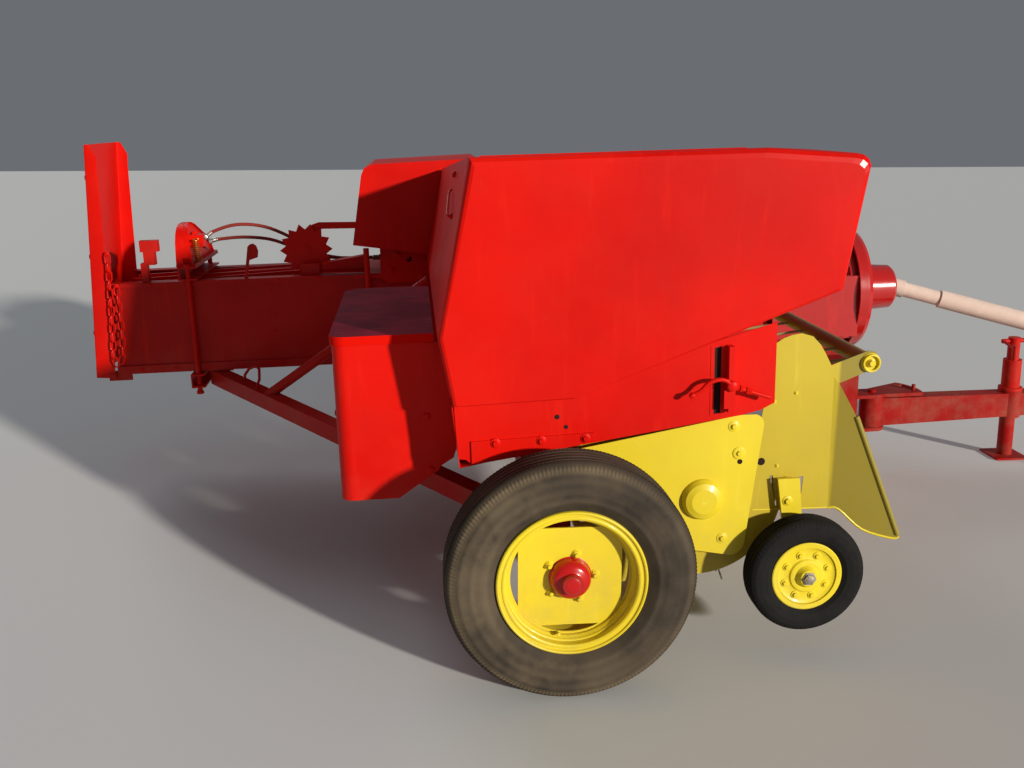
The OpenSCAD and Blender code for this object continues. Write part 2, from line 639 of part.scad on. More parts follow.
/* Side shield: a pan that hangs from the top edge of the housing */
shield_round = 26;
function inset(k, t) = [for (p = hood) p - [p[0] > 280 ? 22 * k + t : -14 * k - t, p[1] > 800 ? 26 * k + t : -6 * k - t]];
module pan(t) {
    hull() for (a = [0, 30, 60, 90]) translate([0, shield_round * (1 - cos(a)) - shield_y + t, 0])
        span_y(0, a == 90 ? shield_rim - shield_round + (t == 0 ? 0 : 1) : 0.5) polygon(inset(1 - sin(a), t));
}
module side_shield() {
    color(red) stand() {
        difference() {
            pan(0);
            pan(sheet);
            span_y(-shield_y + 9, -shield_y + shield_rim + 1) polygon([[-320, 440], [-320, 472], [-298, 500], [24, 508],
                [812, 786], [860, 700], [0, 400]]);
            block([knuckle_x[0] - knuckle_l, housing_right - seat - hinge_r - 1, roof_z - 10],
                [knuckle_end, housing_right, roof_z + 1]);
        }
        knuckles(0, -1);
        pin_x(knuckle_x[0], 530, housing_right, hinge_at, 4);
    }
}

/* Twine box with its hinged lid, open at the top */
box_back = -650;
box_front = -350;
box_near = 200 - shield_y;
box_far = -100;
box_top = 635;
box_r = 42;
lid_gap = 2;
hinge_y = box_far + 10;
hinge_z = box_top - 6;
hinge_d = 12;
hinge_x = [-600, -430];
module box_outline(grow) {
    offset(delta = grow) hull() {
        translate([box_back + box_r, box_near + box_r]) circle(r = box_r, $fn = 32);
        translate([box_front - 10, box_near]) square([10, 20]);
        translate([box_back + 34, box_far - 20]) square([box_front - box_back - 34, 20]);
        translate([box_back, box_far - 54]) square([10, 20]);
    }
}
module box_body(grow) {
    intersection() {
        translate([0, 0, 90]) linear_extrude(box_top - 90) box_outline(grow);
        span_y(-1000, 0) polygon([[-700, 125 - grow], [-472, 125 - grow], [-340, 214 - grow], [-340, 700], [-700, 700]]);
    }
}
module pin_x(x0, x1, y, z, d) {
    translate([x0, y, z]) rotate([0, 90, 0]) cylinder(d = d, h = x1 - x0);
}
module twine_box() {
    color(red) stand() {
        difference() {
            box_body(0);
            box_body(-sheet);
            translate([0, 0, box_top - 1]) linear_extrude(10) box_outline(-sheet);
        }
        span_y(box_near, box_near + sheet) polygon([[-378, 200], [-300, 246], [wall_x(277) - seat, 277],
            [wall_x(377) - seat, 377], [-378, 377]]);
        block([box_front - 1, -600, 300], [wall_x(340) - seat, -560, 340]);
        difference() {
            for (x = hinge_x) {
                pin_x(x, x + 30, hinge_y, hinge_z, hinge_d);
                block([x, box_far - 1, hinge_z - 6], [x + 30, hinge_y, hinge_z]);
            }
            pin_x(box_back, box_front, hinge_y, hinge_z, 6 + run);
        }
    }
}
lid_top = box_top + sheet + seat;
module twine_lid() {
    color(red) stand() {
        difference() {
            translate([0, 0, box_top - 24]) linear_extrude(lid_top - box_top + 24) box_outline(lid_gap + sheet);
            translate([0, 0, box_top - 25]) linear_extrude(25 + seat) box_outline(lid_gap);
            block([box_back - 20, box_far - 60, box_top - 30], [box_front + 20, hinge_y + 10, box_top + seat]);
        }
        for (x = hinge_x) {
            pin_x(x - 16, x + 46, hinge_y, hinge_z, 6);
            for (u = [x - 16, x + 31]) {
                pin_x(u, u + 15, hinge_y, hinge_z, hinge_d);
                block([u, hinge_y - 6, hinge_z], [u + 15, hinge_y + 6, lid_top]);
            }
        }
        block([hinge_x[0] - 16, box_far - 5, box_top + seat], [hinge_x[1] + 46, hinge_y + 6, lid_top]);
    }
}

/* Bale chute, folded up behind the case, with its hold-up chain in two parts */
chute_x = -case_back - 20;
chute_z = 170;
chute_side = 16;
chute_deep = 75;
module at_chute() {
    translate([chute_x, 0, chute_z]) rotate([0, chute_lean, 0]) children();
}
module bale_chute() {
    left = chamber_y - chute_side;
    right = case_y + chute_side;
    color(red) stand() at_chute() difference() {
        union() {
            block([-chute_deep, left - sheet, -8], [-chute_deep + sheet, right + sheet, chute_l - 8]);
            for (y = [left - sheet, right]) span_y(y, y + sheet) polygon(concat([[-chute_deep, -8]],
                arc(-6, 2, chute_flange - chute_deep + 6, -90, 0, 5), [[chute_flange - chute_deep, chute_l - 60],
                [chute_flange - chute_deep - 30, chute_l - 8], [-chute_deep, chute_l - 8]]));
            for (z = [180, 520, 860]) block([-chute_deep - 7, left + 20, z], [-chute_deep + 1, right - 20, z + 26]);
        }
        pin_y(0, 0, left - 4, right + 4, 20 + run);
        pin_y(-2, 546, left - 4, left + 1, 9);
    }
}

// Closed loop of round wire
module loop(route, d, n) {
    m = len(route);
    polyhedron(points = [for (i = [0 : m - 1]) each ring(route[i], unit(route[(i + 1) % m] - route[(i + m - 1) % m]), d, n)],
        faces = concat(
            [for (i = [0 : m - 1], k = [0 : n - 1]) [i * n + k, ((i + 1) % m) * n + k, ((i + 1) % m) * n + (k + 1) % n]],
            [for (i = [0 : m - 1], k = [0 : n - 1]) [i * n + k, ((i + 1) % m) * n + (k + 1) % n, i * n + (k + 1) % n]]));
}
wire = 6;
link_l = 44;
link_w = 24;
link_pitch = link_l - 2 * wire - 1;
module link() {
    h = (link_l - wire) / 2;
    w = (link_w - wire) / 2;
    loop([[w, 0, -h + 7], [0, 0, -h], [-w, 0, -h + 7], [-w, 0, h - 7], [0, 0, h], [w, 0, h - 7]], wire, 4);
}
// Chain between two points at one y, every other link turned
module chain(p, q) {
    v = q - p;
    n = floor((norm(v) - link_l) / link_pitch);
    translate(p) rotate([0, atan2(v[0], v[2]), 0]) for (i = [0 : n])
        translate([0, 0, link_l / 2 + i * link_pitch]) rotate(i % 2 == 0 ? 0 : 90) link();
}
chain_y = chamber_y - chute_side - sheet - link_w / 2 - seat;
module chute_chain() {
    color(red) stand() chain([-1729, chain_y, 730], [-1752, chain_y, 235]);
}
module case_chain() {
    color(red) stand() {
        chain([-1700, chain_y, 585], [-1716, chain_y, 240]);
        pin_y(-1700, case_top - 12, chain_y, chamber_y - 10, 10);
    }
}

/* Gearbox with its stub shaft */
shaft_z = 380;
shaft_y = case_mid_y;
shaft_d = 50;
shaft_end = 1900;
gear_x = [chamber_front_x + seat, 1600];
module gearbox() {
    color(red) stand() {
        span_y(shaft_y - 120, shaft_y + 120) polygon([[gear_x[0], 230], [gear_x[1], 230], [gear_x[1], 470],
            [gear_x[1] - 60, 520], [gear_x[0] + 60, 520], [gear_x[0], 470]]);
        block([gear_x[0], shaft_y - 215, chamber_z + seat], [gear_x[0] + 220, shaft_y + 215, 236]);
        pin_y(1400, shaft_z, shaft_y - 155, shaft_y + 155, 170);
        pin_x(gear_x[1] - 1, 1672, shaft_y, shaft_z, 120);
        pin_x(gear_x[1] - 1, shaft_end, shaft_y, shaft_z, shaft_d);
    }
}

/* Plunger in the chamber, with its two connecting rods */
module plunger() {
    color(red) stand() {
        difference() {
            block([250, chamber_y + wall + 5, chamber_z + wall + seat], [620, case_y - wall - 5, case_top - wall - 5]);
            block([262, chamber_y + 60, chamber_z + 60], [621, case_y - 60, case_top - 60]);
        }
        for (y = [shaft_y - 100, shaft_y + 80]) block([261, y, shaft_z - 30], [chamber_front_x - 20, y + 20, shaft_z + 30]);
    }
}

/* Flywheel and its shield */
fly_x = [1684, 1738];
fly_r = flywheel_d / 2;
module turned_x(x) {
    translate([x, shaft_y, shaft_z]) rotate([0, 90, 0]) rotate_extrude() children();
}
module flywheel() {
    w = fly_x[1] - fly_x[0];
    color(red) stand() turned_x(fly_x[0]) polygon([[(shaft_d + run) / 2, 0], [60, 0], [60, 20], [fly_r - 50, 20],
        [fly_r - 50, 0], [fly_r, 0], [fly_r, w], [fly_r - 50, w], [fly_r - 50, 40], [60, 40], [60, w],
        [(shaft_d + run) / 2, w]]);
}
drum_x = 1673;
drum_r = 295;
bell_end = 1946;
bell_r = [118, 106];
guard_y = chamber_y - 40;
guard_low = 196;
module flywheel_shield() {
    deep = shield_front - drum_x;
    color(red) stand() {
        turned_x(drum_x) polygon([[drum_r - 4, 0], [drum_r + 8, 0], [drum_r + 8, 4], [drum_r, 4], [drum_r, deep - 26],
            [drum_r - 8, deep - 8], [drum_r - 26, deep], [bell_r[0], deep], [bell_r[1], bell_end - drum_x - 12],
            [bell_r[1] - 10, bell_end - drum_x], [bell_r[1] - 14, bell_end - drum_x], [bell_r[1] - 4, bell_end - drum_x - 14],
            [bell_r[0] - 4, deep - 4], [drum_r - 27, deep - 4], [drum_r - 12, deep - 11], [drum_r - 4, deep - 27]]);
        block([chamber_front_x + 12, guard_y, guard_low], [drum_x + 4, guard_y + 3, 484]);
        block([chamber_front_x + 12, guard_y, 481], [drum_x + 4, guard_y + 30, 484]);
        block([chamber_front_x + 12, guard_y, guard_low], [drum_x + 4, guard_y + 50, guard_low + 3]);
        block([1560, guard_y + 49, guard_low], [drum_x + 4, guard_y + 61, guard_low + 3]);
        for (y = [chamber_y + 20, case_y - 80]) block([1560, y, chamber_z + seat], [drum_x + 4, y + 60, chamber_z + 40]);
    }
}

/* Driveline: the inner guard runs to the joint, the outer one slides on it */
drive_0 = [1960, shaft_y, shaft_z];
drive_1 = [2900, 650, 115];
drive_v = unit(drive_1 - drive_0);
inner_d = 72;
outer_d = 88;
outer_at = 240;
outer_l = 760;
function drive(s) = drive_0 + s * drive_v;
module driveline_rear() {
    color("#3a3432") stand() {
        bar(drive(0), drive(850), inner_d);
        bar(drive(-40), drive(60), 86);
        pin_x(shaft_end + seat, 1966, shaft_y, shaft_z, 66);
    }
}
pto_d = 35;
module driveline_front() {
    color("#c9a08c") stand() difference() {
        union() {
            bar(drive(outer_at), drive(outer_at + outer_l), outer_d);
            bar(drive(outer_at + outer_l - 1), drive(outer_at + outer_l + 90), 64);
            bar(drive(outer_at + outer_l - 90), drive(outer_at + outer_l), 110);
        }
        bar(drive(outer_at - 1), drive(outer_at + outer_l - 25), inner_d + run);
        bar(drive(outer_at + outer_l + 10), drive(outer_at + outer_l + 91), pto_d);
    }
}

/* Tongue, swinging on its pivot pin */
jack_x = 2430;
jack_d = 84;
tube_end = 2890;
clevis_gap = 56;
clevis_h = tongue_tip_h + 6;
module tongue() {
    low = pivot_z - clevis_h / 2;
    high = pivot_z + clevis_h / 2;
    color(red) stand() difference() {
        union() {
            span_y(tongue_y - tongue_w / 2, tongue_y + tongue_w / 2) polygon([
                [pivot_x, pivot_z - tongue_h / 2 + 5], [tube_end, pivot_z - tongue_tip_h / 2],
                [tube_end, pivot_z + tongue_tip_h / 2], [pivot_x, pivot_z + tongue_h / 2 - 5]]);
            translate([pivot_x, tongue_y, pivot_z - tongue_h / 2]) cylinder(d = 110, h = tongue_h);
            translate([tongue_front - 50, tongue_y, low]) cylinder(d = 90, h = clevis_h);
            block([tube_end - 60, tongue_y - 45, low], [tongue_front - 50, tongue_y + 45, high]);
            translate([jack_x, tongue_y, pivot_z - 66]) cylinder(d = jack_d + 24, h = 132);
            translate([pivot_x + latch_r, tongue_y, pivot_z]) cylinder(d = 18, h = 115);
            block([2830, tongue_y - 45, pivot_z], [2842, tongue_y + 110, 69]);
        }
        translate([pivot_x, tongue_y, pivot_z - tongue_h]) cylinder(d = pin_d + run, h = 2 * tongue_h);
        translate([jack_x, tongue_y, pivot_z - 100]) cylinder(d = jack_d + 2 * seat, h = 200);
        block([tube_end, tongue_y - 60, pivot_z - clevis_gap / 2], [tongue_front + 10, tongue_y + 60, pivot_z + clevis_gap / 2]);
        translate([tongue_front - 50, tongue_y, low - 1]) cylinder(d = hitch_d, h = clevis_h + 2);
    }
}

/* Jack: tube in the sleeve of the tongue, leg with its foot on the ground */
jack_low = -220;
jack_high = 60;
leg_d = 70;
foot_t = 10;
ground_z = -(axle_z + (jack_x) * sin(nose_up)) / cos(nose_up);
leg_top = -130;
module jack_tube() {
    color(red) stand() {
        difference() {
            union() {
                translate([jack_x, tongue_y, jack_low]) cylinder(d = jack_d, h = jack_high - jack_low);
                translate([jack_x, tongue_y, pivot_z + 66 + seat]) cylinder(d = jack_d + 24, h = 14);
            }
            translate([jack_x, tongue_y, jack_low - 1]) cylinder(d = leg_d + run, h = jack_high - jack_low - 5);
        }
        translate([jack_x, tongue_y, jack_high - 1]) cylinder(d = 55, h = 108);
        bar([jack_x - 60, tongue_y, 150], [jack_x + 60, tongue_y, 150], 22);
        bar([jack_x - 55, tongue_y, 150], [jack_x - 55, tongue_y - 110, 132], 14);
        bar([jack_x - 55, tongue_y - 104, 80], [jack_x - 55, tongue_y - 104, 150], 22);
    }
}
module jack_leg() {
    color(red) stand() {
        translate([jack_x, tongue_y, ground_z + foot_t / 2]) cylinder(d = leg_d, h = leg_top - ground_z - foot_t / 2);
        translate([jack_x, tongue_y, ground_z]) rotate([0, nose_up, 0]) block([-80, -80, 0], [80, 80, foot_t]);
    }
}

/* Pickup sides: plates round the reel with a flared front */
plate_t = 4;
flare = 12;
flare_x = 845;
guard_x = 956;
guard_z = 508;
module side_profile() {
    translate([reel_x, reel_z]) circle(r = band_r + 5);
    polygon([[110, -152], [150, -152], [reel_x, reel_z - band_r - 5], [reel_x, reel_z + band_r + 5], [150, 374],
        [floor_front[0] + 7, 374], floor_front + [7, -13], floor_front - [28, 21], [44, 268], [38, 236], [60, 205],
        [110, 190]]);
    translate([pick_x, pick_z]) circle(d = 66);
    polygon([[600, 60], [flare_x + 1, 51], [flare_x + 1, 480], [835, 506], [816, 543], [800, 570], [775, 597],
        [740, 608], [710, 604], [686, 596], [663, 582], [625, 350]]);
    polygon([[flare_x - 20, 470], [835, 506], [948, 545], [970, 540], [983, 514], [963, 487], [862, 449]]);
}
module flare_profile() {
    polygon([[flare_x, 470], [862, 449], [918, 346], [1064, -39], [1044, -46], [952, -18], [878, 48], [flare_x, 51]]);
}
module pickup_side(y, out) {
    difference() {
        union() {
            span_y(y, y + plate_t) side_profile();
            translate([flare_x, y + plate_t / 2, 0]) rotate([0, 0, out * flare]) translate([-flare_x, 0, 0]) {
                span_y(-plate_t / 2, plate_t / 2) flare_profile();
                bar([918, 0, 346], [1060, 0, -34], 16);
            }
        }
        pin_y(pick_x, pick_z, y - 1, y + plate_t + 1, spigot_d + 2 * seat);
        pin_y(reel_x, reel_z, y - 1, y + plate_t + 1, spigot_d + run);
        pin_y(guard_x, guard_z, y - 1, y + plate_t + 1, 20 + run);
        for (slot = [[[657, 168], [667, 168], [683, 68], [679, 68]], [[749, 160], [764, 160], [759, 104], [756, 104]]])
            span_y(y - 1, y + plate_t + 1) polygon(slot);
    }
}
module pickup_sides() {
    color(red) stand() {
        pickup_side(-pickup_y, -1);
        pickup_side(pickup_left, 1);
    }
}

/* Pickup shield outside the right plate, with the dome over the reel bearing */
cover_in = pickup_y + 45;
module pickup_shield() {
    color(red) stand() {
        difference() {
            span_y(-cover_in - sheet, -cover_in) polygon(concat([[6, 295], [545, 381]],
                arc(586, 349, 32, 78, -8, 5), arc(524, -19, 44, -4, -90, 5), [[412, -40], [300, 20], [100, 210], [10, 240]]));
            pin_y(544, 263, -cover_in - 4, -cover_in + 1, 30);
            pin_y(pick_x, pick_z, -cover_in - 4, -cover_in + 1, 44);
        }
        translate([reel_x, -cover_in - sheet + 1, reel_z]) rotate([90, 0, 0]) rotate_extrude()
            polygon([[0, 0], [65, 0], [62, 10], [55, 22], [38, 29], [0, 30]]);
        for (p = [[526, 347], [498, -6], [330, 60]]) pin_y(p[0], p[1], -cover_in - 1, -pickup_y - seat, 20);
    }
}

/* Pickup frame: pivot tube with its spigots and the cross members */
module pickup_frame() {
    color(red) stand() {
        pin_y(pick_x, pick_z, -pickup_y + plate_t + seat, pickup_left - seat, 50);
        pin_y(pick_x, pick_z, -lug_right - 25, lug_left + 25, spigot_d);
        block([132, -pickup_y + plate_t + seat, 347], [150, pickup_left - seat, 353]);
        block([144, -pickup_y + plate_t + seat, 347], [150, pickup_left - seat, 367]);
        block([118, -pickup_y + plate_t + seat, -148], [142, pickup_left - seat, -136 - seat]);
    }
}

/* Stripper bands: bent strips with the tines between them */
tine_n = floor((pickup_y + pickup_left - 70) / tine_pitch);
tine_y = (pickup_left - pickup_y) / 2 + 2;
band_back_z = 357;
band_low_x = 130;
function band_outline(r) = concat([[150 + seat, band_back_z + r - band_r]], arc(reel_x, reel_z, r, 95.5, -90, 22),
    [[band_low_x, reel_z - r]]);
module stripper_bands() {
    color(yellow) stand() for (i = [0 : tine_n])
        let (y = tine_y + (i - tine_n / 2) * tine_pitch - band_w / 2) span_y(y, y + band_w)
            polygon(concat(band_outline(band_r), [for (k = [24 : -1 : 0]) band_outline(band_r - sheet)[k]]));
}

/* Pickup reel: shaft, spiders, bars and tines */
module pickup_reel() {
    first = tine_y - (tine_n - 1) / 2 * tine_pitch;
    color(steel) stand() translate([reel_x, 0, reel_z]) {
        pin_y(0, 0, -pickup_y + plate_t + 2, pickup_left - 2, 40);
        pin_y(0, 0, -pickup_y - 12, pickup_left + plate_t + 12, spigot_d);
        for (f = [0 : 1 / 3 : 1]) let (y = 32 - pickup_y + f * (pickup_y + pickup_left - 68))
            pin_y(0, 0, y, y + 6, 2 * bar_r + 40);
        for (b = [0 : bar_n - 1]) rotate([0, 360 * b / bar_n, 0]) {
            pin_y(bar_r, 0, 26 - pickup_y, pickup_left - 20, 28);
            for (i = [0 : tine_n - 1]) translate([bar_r, first + i * tine_pitch, 0]) rotate([0, 90, 0])
                cylinder(d = 6, h = tip_r - bar_r, $fn = 6);
        }
    }
}

/* Windguard: cross tube with rods over the reel */
rod_n = 11;
module windguard() {
    color(red) stand() {
        pin_y(guard_x, guard_z, -pickup_y + plate_t + 2, pickup_left - 2, 48);
        pin_y(guard_x, guard_z, -pickup_y - 8, pickup_left + plate_t + 8, 20);
        for (i = [0 : rod_n - 1]) let (y = 72 - pickup_y + i * (pickup_y + pickup_left - 142) / (rod_n - 1))
            bar([guard_x, y, guard_z], [560, y, 470], 10);
    }
}

/* Gauge wheel on its bracket */
gauge_x = 733;
gauge_z = -106;
gauge_y = pickup_y + 108;
gauge_pin = 25;
bracket_y = pickup_y + 20;
module gauge_bracket() {
    color(red) stand() {
        span_y(-bracket_y - 12, -bracket_y) polygon(concat([[673, 166], [690, 38]],
            arc(gauge_x - 11, -106, 32, 180, 330, 8), [[754, -80], [752, 38], [741, 166]]));
        for (z = [148, 66]) pin_y(740 - z / 5, z, -bracket_y - 1, -pickup_y - seat, 30);
        pin_y(gauge_x, gauge_z, -gauge_y - 62, -bracket_y - 1, gauge_pin);
        pin_y(gauge_x, gauge_z, -gauge_y + 38 + seat, -bracket_y - 11, 44);
    }
}
gauge_half = 36;
gauge_rim_r = 107.5;
module on_gauge() {
    stand() translate([gauge_x, -gauge_y, gauge_z]) rotate([90, 0, 0]) children();
}
module gauge_tyre() {
    color(dark) on_gauge() rotate_extrude($fn = 40) tyre_section(gauge_d / 2, gauge_w, gauge_rim_r - 11.5, gauge_half - 5.5);
}
module gauge_rim() {
    r = gauge_rim_r;
    h = gauge_half;
    color(yellow) on_gauge() {
        rotate_extrude() polygon([[r - 3, h], [r, h - 2], [r, h - 4], [r - 12, h - 5], [r - 12, -h + 5],
            [r, -h + 4], [r, -h + 2], [r - 3, -h], [r - 16, -h + 1], [r - 16, h - 1]]);
        difference() {
            union() {
                translate([0, 0, -4]) cylinder(r = r - 14, h = 6);
                translate([0, 0, -38]) cylinder(d = 52, h = 86);
            }
            translate([0, 0, -39]) cylinder(d = gauge_pin + run, h = 88);
        }
    }
}

axle();
main_frame();
brace_beam();
bale_case();
chamber_front();
tension_rails();
tension_head();
tension_rods();
tension_hoses();
star_wheel();
star_arm();
knotter_frame();
knotter_cover();
needle_yoke();
feeder_housing();
feeder_carriage();
end_panel();
side_shield();
twine_box();
twine_lid();
bale_chute();
chute_chain();
case_chain();
gearbox();
plunger();
flywheel();
flywheel_shield();
driveline_rear();
driveline_front();
tongue();
jack_tube();
jack_leg();
pickup_sides();
pickup_shield();
pickup_frame();
stripper_bands();
pickup_reel();
windguard();
gauge_bracket();
gauge_tyre();
gauge_rim();
right_tyre();
right_rim();
left_tyre();
left_rim();
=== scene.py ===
import json
import math
import bmesh
import bpy
from mathutils import Matrix, Vector


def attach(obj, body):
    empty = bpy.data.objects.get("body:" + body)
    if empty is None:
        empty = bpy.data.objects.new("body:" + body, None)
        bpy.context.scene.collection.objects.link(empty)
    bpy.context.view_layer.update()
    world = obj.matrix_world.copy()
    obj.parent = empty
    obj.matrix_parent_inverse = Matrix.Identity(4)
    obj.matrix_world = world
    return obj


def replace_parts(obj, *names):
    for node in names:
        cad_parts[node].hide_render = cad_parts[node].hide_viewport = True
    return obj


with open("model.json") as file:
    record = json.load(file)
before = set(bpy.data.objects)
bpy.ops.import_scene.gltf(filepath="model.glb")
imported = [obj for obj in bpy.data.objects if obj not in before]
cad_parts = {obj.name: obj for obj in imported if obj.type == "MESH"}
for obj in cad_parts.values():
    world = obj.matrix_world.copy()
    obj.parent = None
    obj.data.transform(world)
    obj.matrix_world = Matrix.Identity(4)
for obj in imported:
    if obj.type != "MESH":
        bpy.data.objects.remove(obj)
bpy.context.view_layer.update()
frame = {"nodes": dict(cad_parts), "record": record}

parts = frame["nodes"]

# The body leans back on its axle with the nose up, in degrees. In metres: how far the axle is behind the origin,
# how high it is, and how far each main wheel is from the middle.
stance = {"noseUp": 1.6, "middle": 0.58, "axleHeight": 0.355, "track": 1.33}
lean = math.radians(stance["noseUp"])
tilt = Matrix.Translation((-stance["middle"], 0, stance["axleHeight"])) @ Matrix.Rotation(-lean, 4, "Y")


def at(x, y, z):  # millimetres from the axle go in, metres come out
    return tilt @ Vector((x / 1000, y / 1000, z / 1000))


shot = {"place": (-0.996, -3.999, 1.6), "down": 14.41, "turn": 5.45, "lens": 36.4, "sensor": 36}
eye = bpy.data.cameras.new("eye")
eye.lens = shot["lens"]
eye.sensor_width = shot["sensor"]
viewer = bpy.data.objects.new("viewer", eye)
viewer.location = shot["place"]
viewer.rotation_euler = (math.radians(90 - shot["down"]), 0, -math.radians(shot["turn"]))
bpy.context.scene.collection.objects.link(viewer)
bpy.context.scene.camera = viewer
print("camera placed")


# A socket that can be added, multiplied and so on as if it were a number
class Wire:
    def __init__(self, finish, socket):
        self.finish, self.socket = finish, socket

    def maths(self, operation, *terms):
        return self.finish.put("ShaderNodeMath", {"operation": operation}, dict(enumerate(terms)))

    def __add__(self, other):
        return self.maths("ADD", self, other)

    def __sub__(self, other):
        return self.maths("SUBTRACT", self, other)

    def __rsub__(self, other):
        return self.maths("SUBTRACT", other, self)

    def __mul__(self, other):
        return self.maths("MULTIPLY", self, other)

    __radd__ = __add__
    __rmul__ = __mul__

    def alone(self, operation):  # for what takes one term, such as a root
        return self.maths(operation, self)

    def most(self, other):
        return self.maths("MAXIMUM", self, other)

    def ramp(self, low, high):  # 0 below low, 1 above high, soft between
        return self.finish.put("ShaderNodeMapRange", {"interpolation_type": "SMOOTHSTEP"},
                               {"Value": self, "From Min": low, "From Max": high})


# One material and its nodes
class Finish:
    def __init__(self, name):
        self.material = bpy.data.materials.new(name)
        self.material.use_nodes = True
        self.tree = self.material.node_tree
        self.shader = self.tree.nodes["Principled BSDF"]
        self.spot = self.put("ShaderNodeTexCoord", give="Object")
        self.high = self.put("ShaderNodeSeparateXYZ", sockets={0: self.spot}, give="Z")

    def put(self, kind, settings=None, sockets=None, give=0):
        node = self.tree.nodes.new(kind)
        for key, value in (settings or {}).items():
            setattr(node, key, value)
        for key, value in (sockets or {}).items():
            self.feed(node.inputs[key], value)
        return Wire(self, node.outputs[give])

    def feed(self, socket, value):
        if isinstance(value, Wire):
            self.tree.links.new(value.socket, socket)
        elif isinstance(value, (tuple, list)) and len(value) == 3 and socket.type == "RGBA":
            socket.default_value = (*value, 1)
        else:
            socket.default_value = value

    def cloud(self, scale, detail=3, rough=0.55, stretch=None):  # noise in metres
        spot = self.spot
        if stretch:
            spot = self.put("ShaderNodeVectorMath", {"operation": "MULTIPLY"}, {0: spot, 1: stretch})
        return self.put("ShaderNodeTexNoise", sockets={"Vector": spot, "Scale": scale, "Detail": detail,
                                                       "Roughness": rough})

    def blend(self, mask, under, over):
        return self.put("ShaderNodeMix", {"data_type": "RGBA"}, {0: mask, 6: under, 7: over}, give=2)

    def bump(self, height, depth, strength=1.0):
        return self.put("ShaderNodeBump", sockets={"Height": height, "Distance": depth, "Strength": strength})

    def set(self, **sockets):
        for key, value in sockets.items():
            self.feed(self.shader.inputs[key.replace("_", " ")], value)
        return self.material


# Where a main wheel is hub, in metres: a drum behind the disc and a collar in front of it, with how far they reach
# from the axle and how far out they end and start. Each edge is soft between two values.
hubSeat = {"drum": (0.0845, 0.0848), "drumEnd": (0.0137, 0.0139), "collar": (0.0573, 0.0575),
           "collarStart": (0.0201, 0.0203)}


def wheelSpot(f):  # place along, across and up, measured from the axle of the main wheels
    x, y, z = (f.put("ShaderNodeSeparateXYZ", sockets={0: f.spot}, give=k) for k in range(3))
    return x + stance["middle"], y, z - stance["axleHeight"]


def hubMask(f):
    x, y, z = wheelSpot(f)
    far = (x * x + z * z).alone("SQRT")
    out = y.alone("ABSOLUTE") - stance["track"]
    drum = (1 - far.ramp(*hubSeat["drum"])) * (1 - out.ramp(*hubSeat["drumEnd"]))
    collar = (1 - far.ramp(*hubSeat["collar"])) * out.ramp(*hubSeat["collarStart"])
    return drum.most(collar)


dustTone = (0.23, 0.17, 0.11)
# Each cloud is scale per metre, detail, roughness and stretch. "Shows" is where it starts to show and where it is full.
enamel = {"broad": (1.7, 4), "broadShows": (0.3, 0.7), "runs": (9, 4, 0.6, (3.2, 3.2, 0.35)), "runsShow": (0.55, 0.75),
          "film": (5.5, 5, 0.7), "filmShows": (0.38, 0.72), "filmLow": 0.75, "filmAll": 0.12, "filmRough": 0.35,
          "fine": (34, 6, 0.65), "chipsShow": (0.735, 0.76), "patches": (3.1, 2), "patchesShow": (0.5, 0.66),
          "chipsRough": 0.3, "gloss": (60, 3), "glossVaries": 0.10, "coatRough": 0.12,
          "peelHigh": 0.6, "fineHigh": 0.25, "chipsDeep": 0.8, "bump": (0.0011, 0.22)}


def paint(name, look):  # enamel with broad shading, pale runs, dust low down and chips
    f = Finish(name)
    broad, fine, runs = (f.cloud(*enamel[key]) for key in ("broad", "fine", "runs"))
    peel = f.cloud(look["peel"], 2)
    shade = f.blend(broad.ramp(*enamel["broadShows"]), look["deep"], look["base"])
    shade = f.blend(runs.ramp(*enamel["runsShow"]) * look["fade"], shade, look["pale"])
    if "hub" in look:
        shade = f.blend(hubMask(f), shade, look["hub"])
    if "flare" in look:  # painted shade on the bent front of the pickup sides, in front of the bend
        ahead = f.put("ShaderNodeSeparateXYZ", sockets={0: f.spot}, give="X")
        shade = f.blend(ahead.ramp(*look["bend"]), shade, look["flare"])
    low = 1 - f.high.ramp(look["dustLow"], look["dustHigh"])
    film = (low * enamel["filmLow"] + enamel["filmAll"]) * f.cloud(*enamel["film"]).ramp(*enamel["filmShows"])
    film = film * look["dust"]
    shade = f.blend(film, shade, dustTone)
    patches = f.cloud(*enamel["patches"]).ramp(*enamel["patchesShow"])
    chips = fine.ramp(*enamel["chipsShow"]) * patches * look["chips"]
    shade = f.blend(chips, shade, look["under"])
    rough = f.cloud(*enamel["gloss"]) * enamel["glossVaries"] + look["rough"]
    rough = rough + film * enamel["filmRough"] + chips * enamel["chipsRough"]
    height = peel * enamel["peelHigh"] + fine * enamel["fineHigh"] - chips * enamel["chipsDeep"]
    return f.set(Base_Color=shade, Roughness=rough, Coat_Weight=look["coat"], Coat_Roughness=enamel["coatRough"],
                 Specular_IOR_Level=look["shine"], Normal=f.bump(height, *enamel["bump"]))


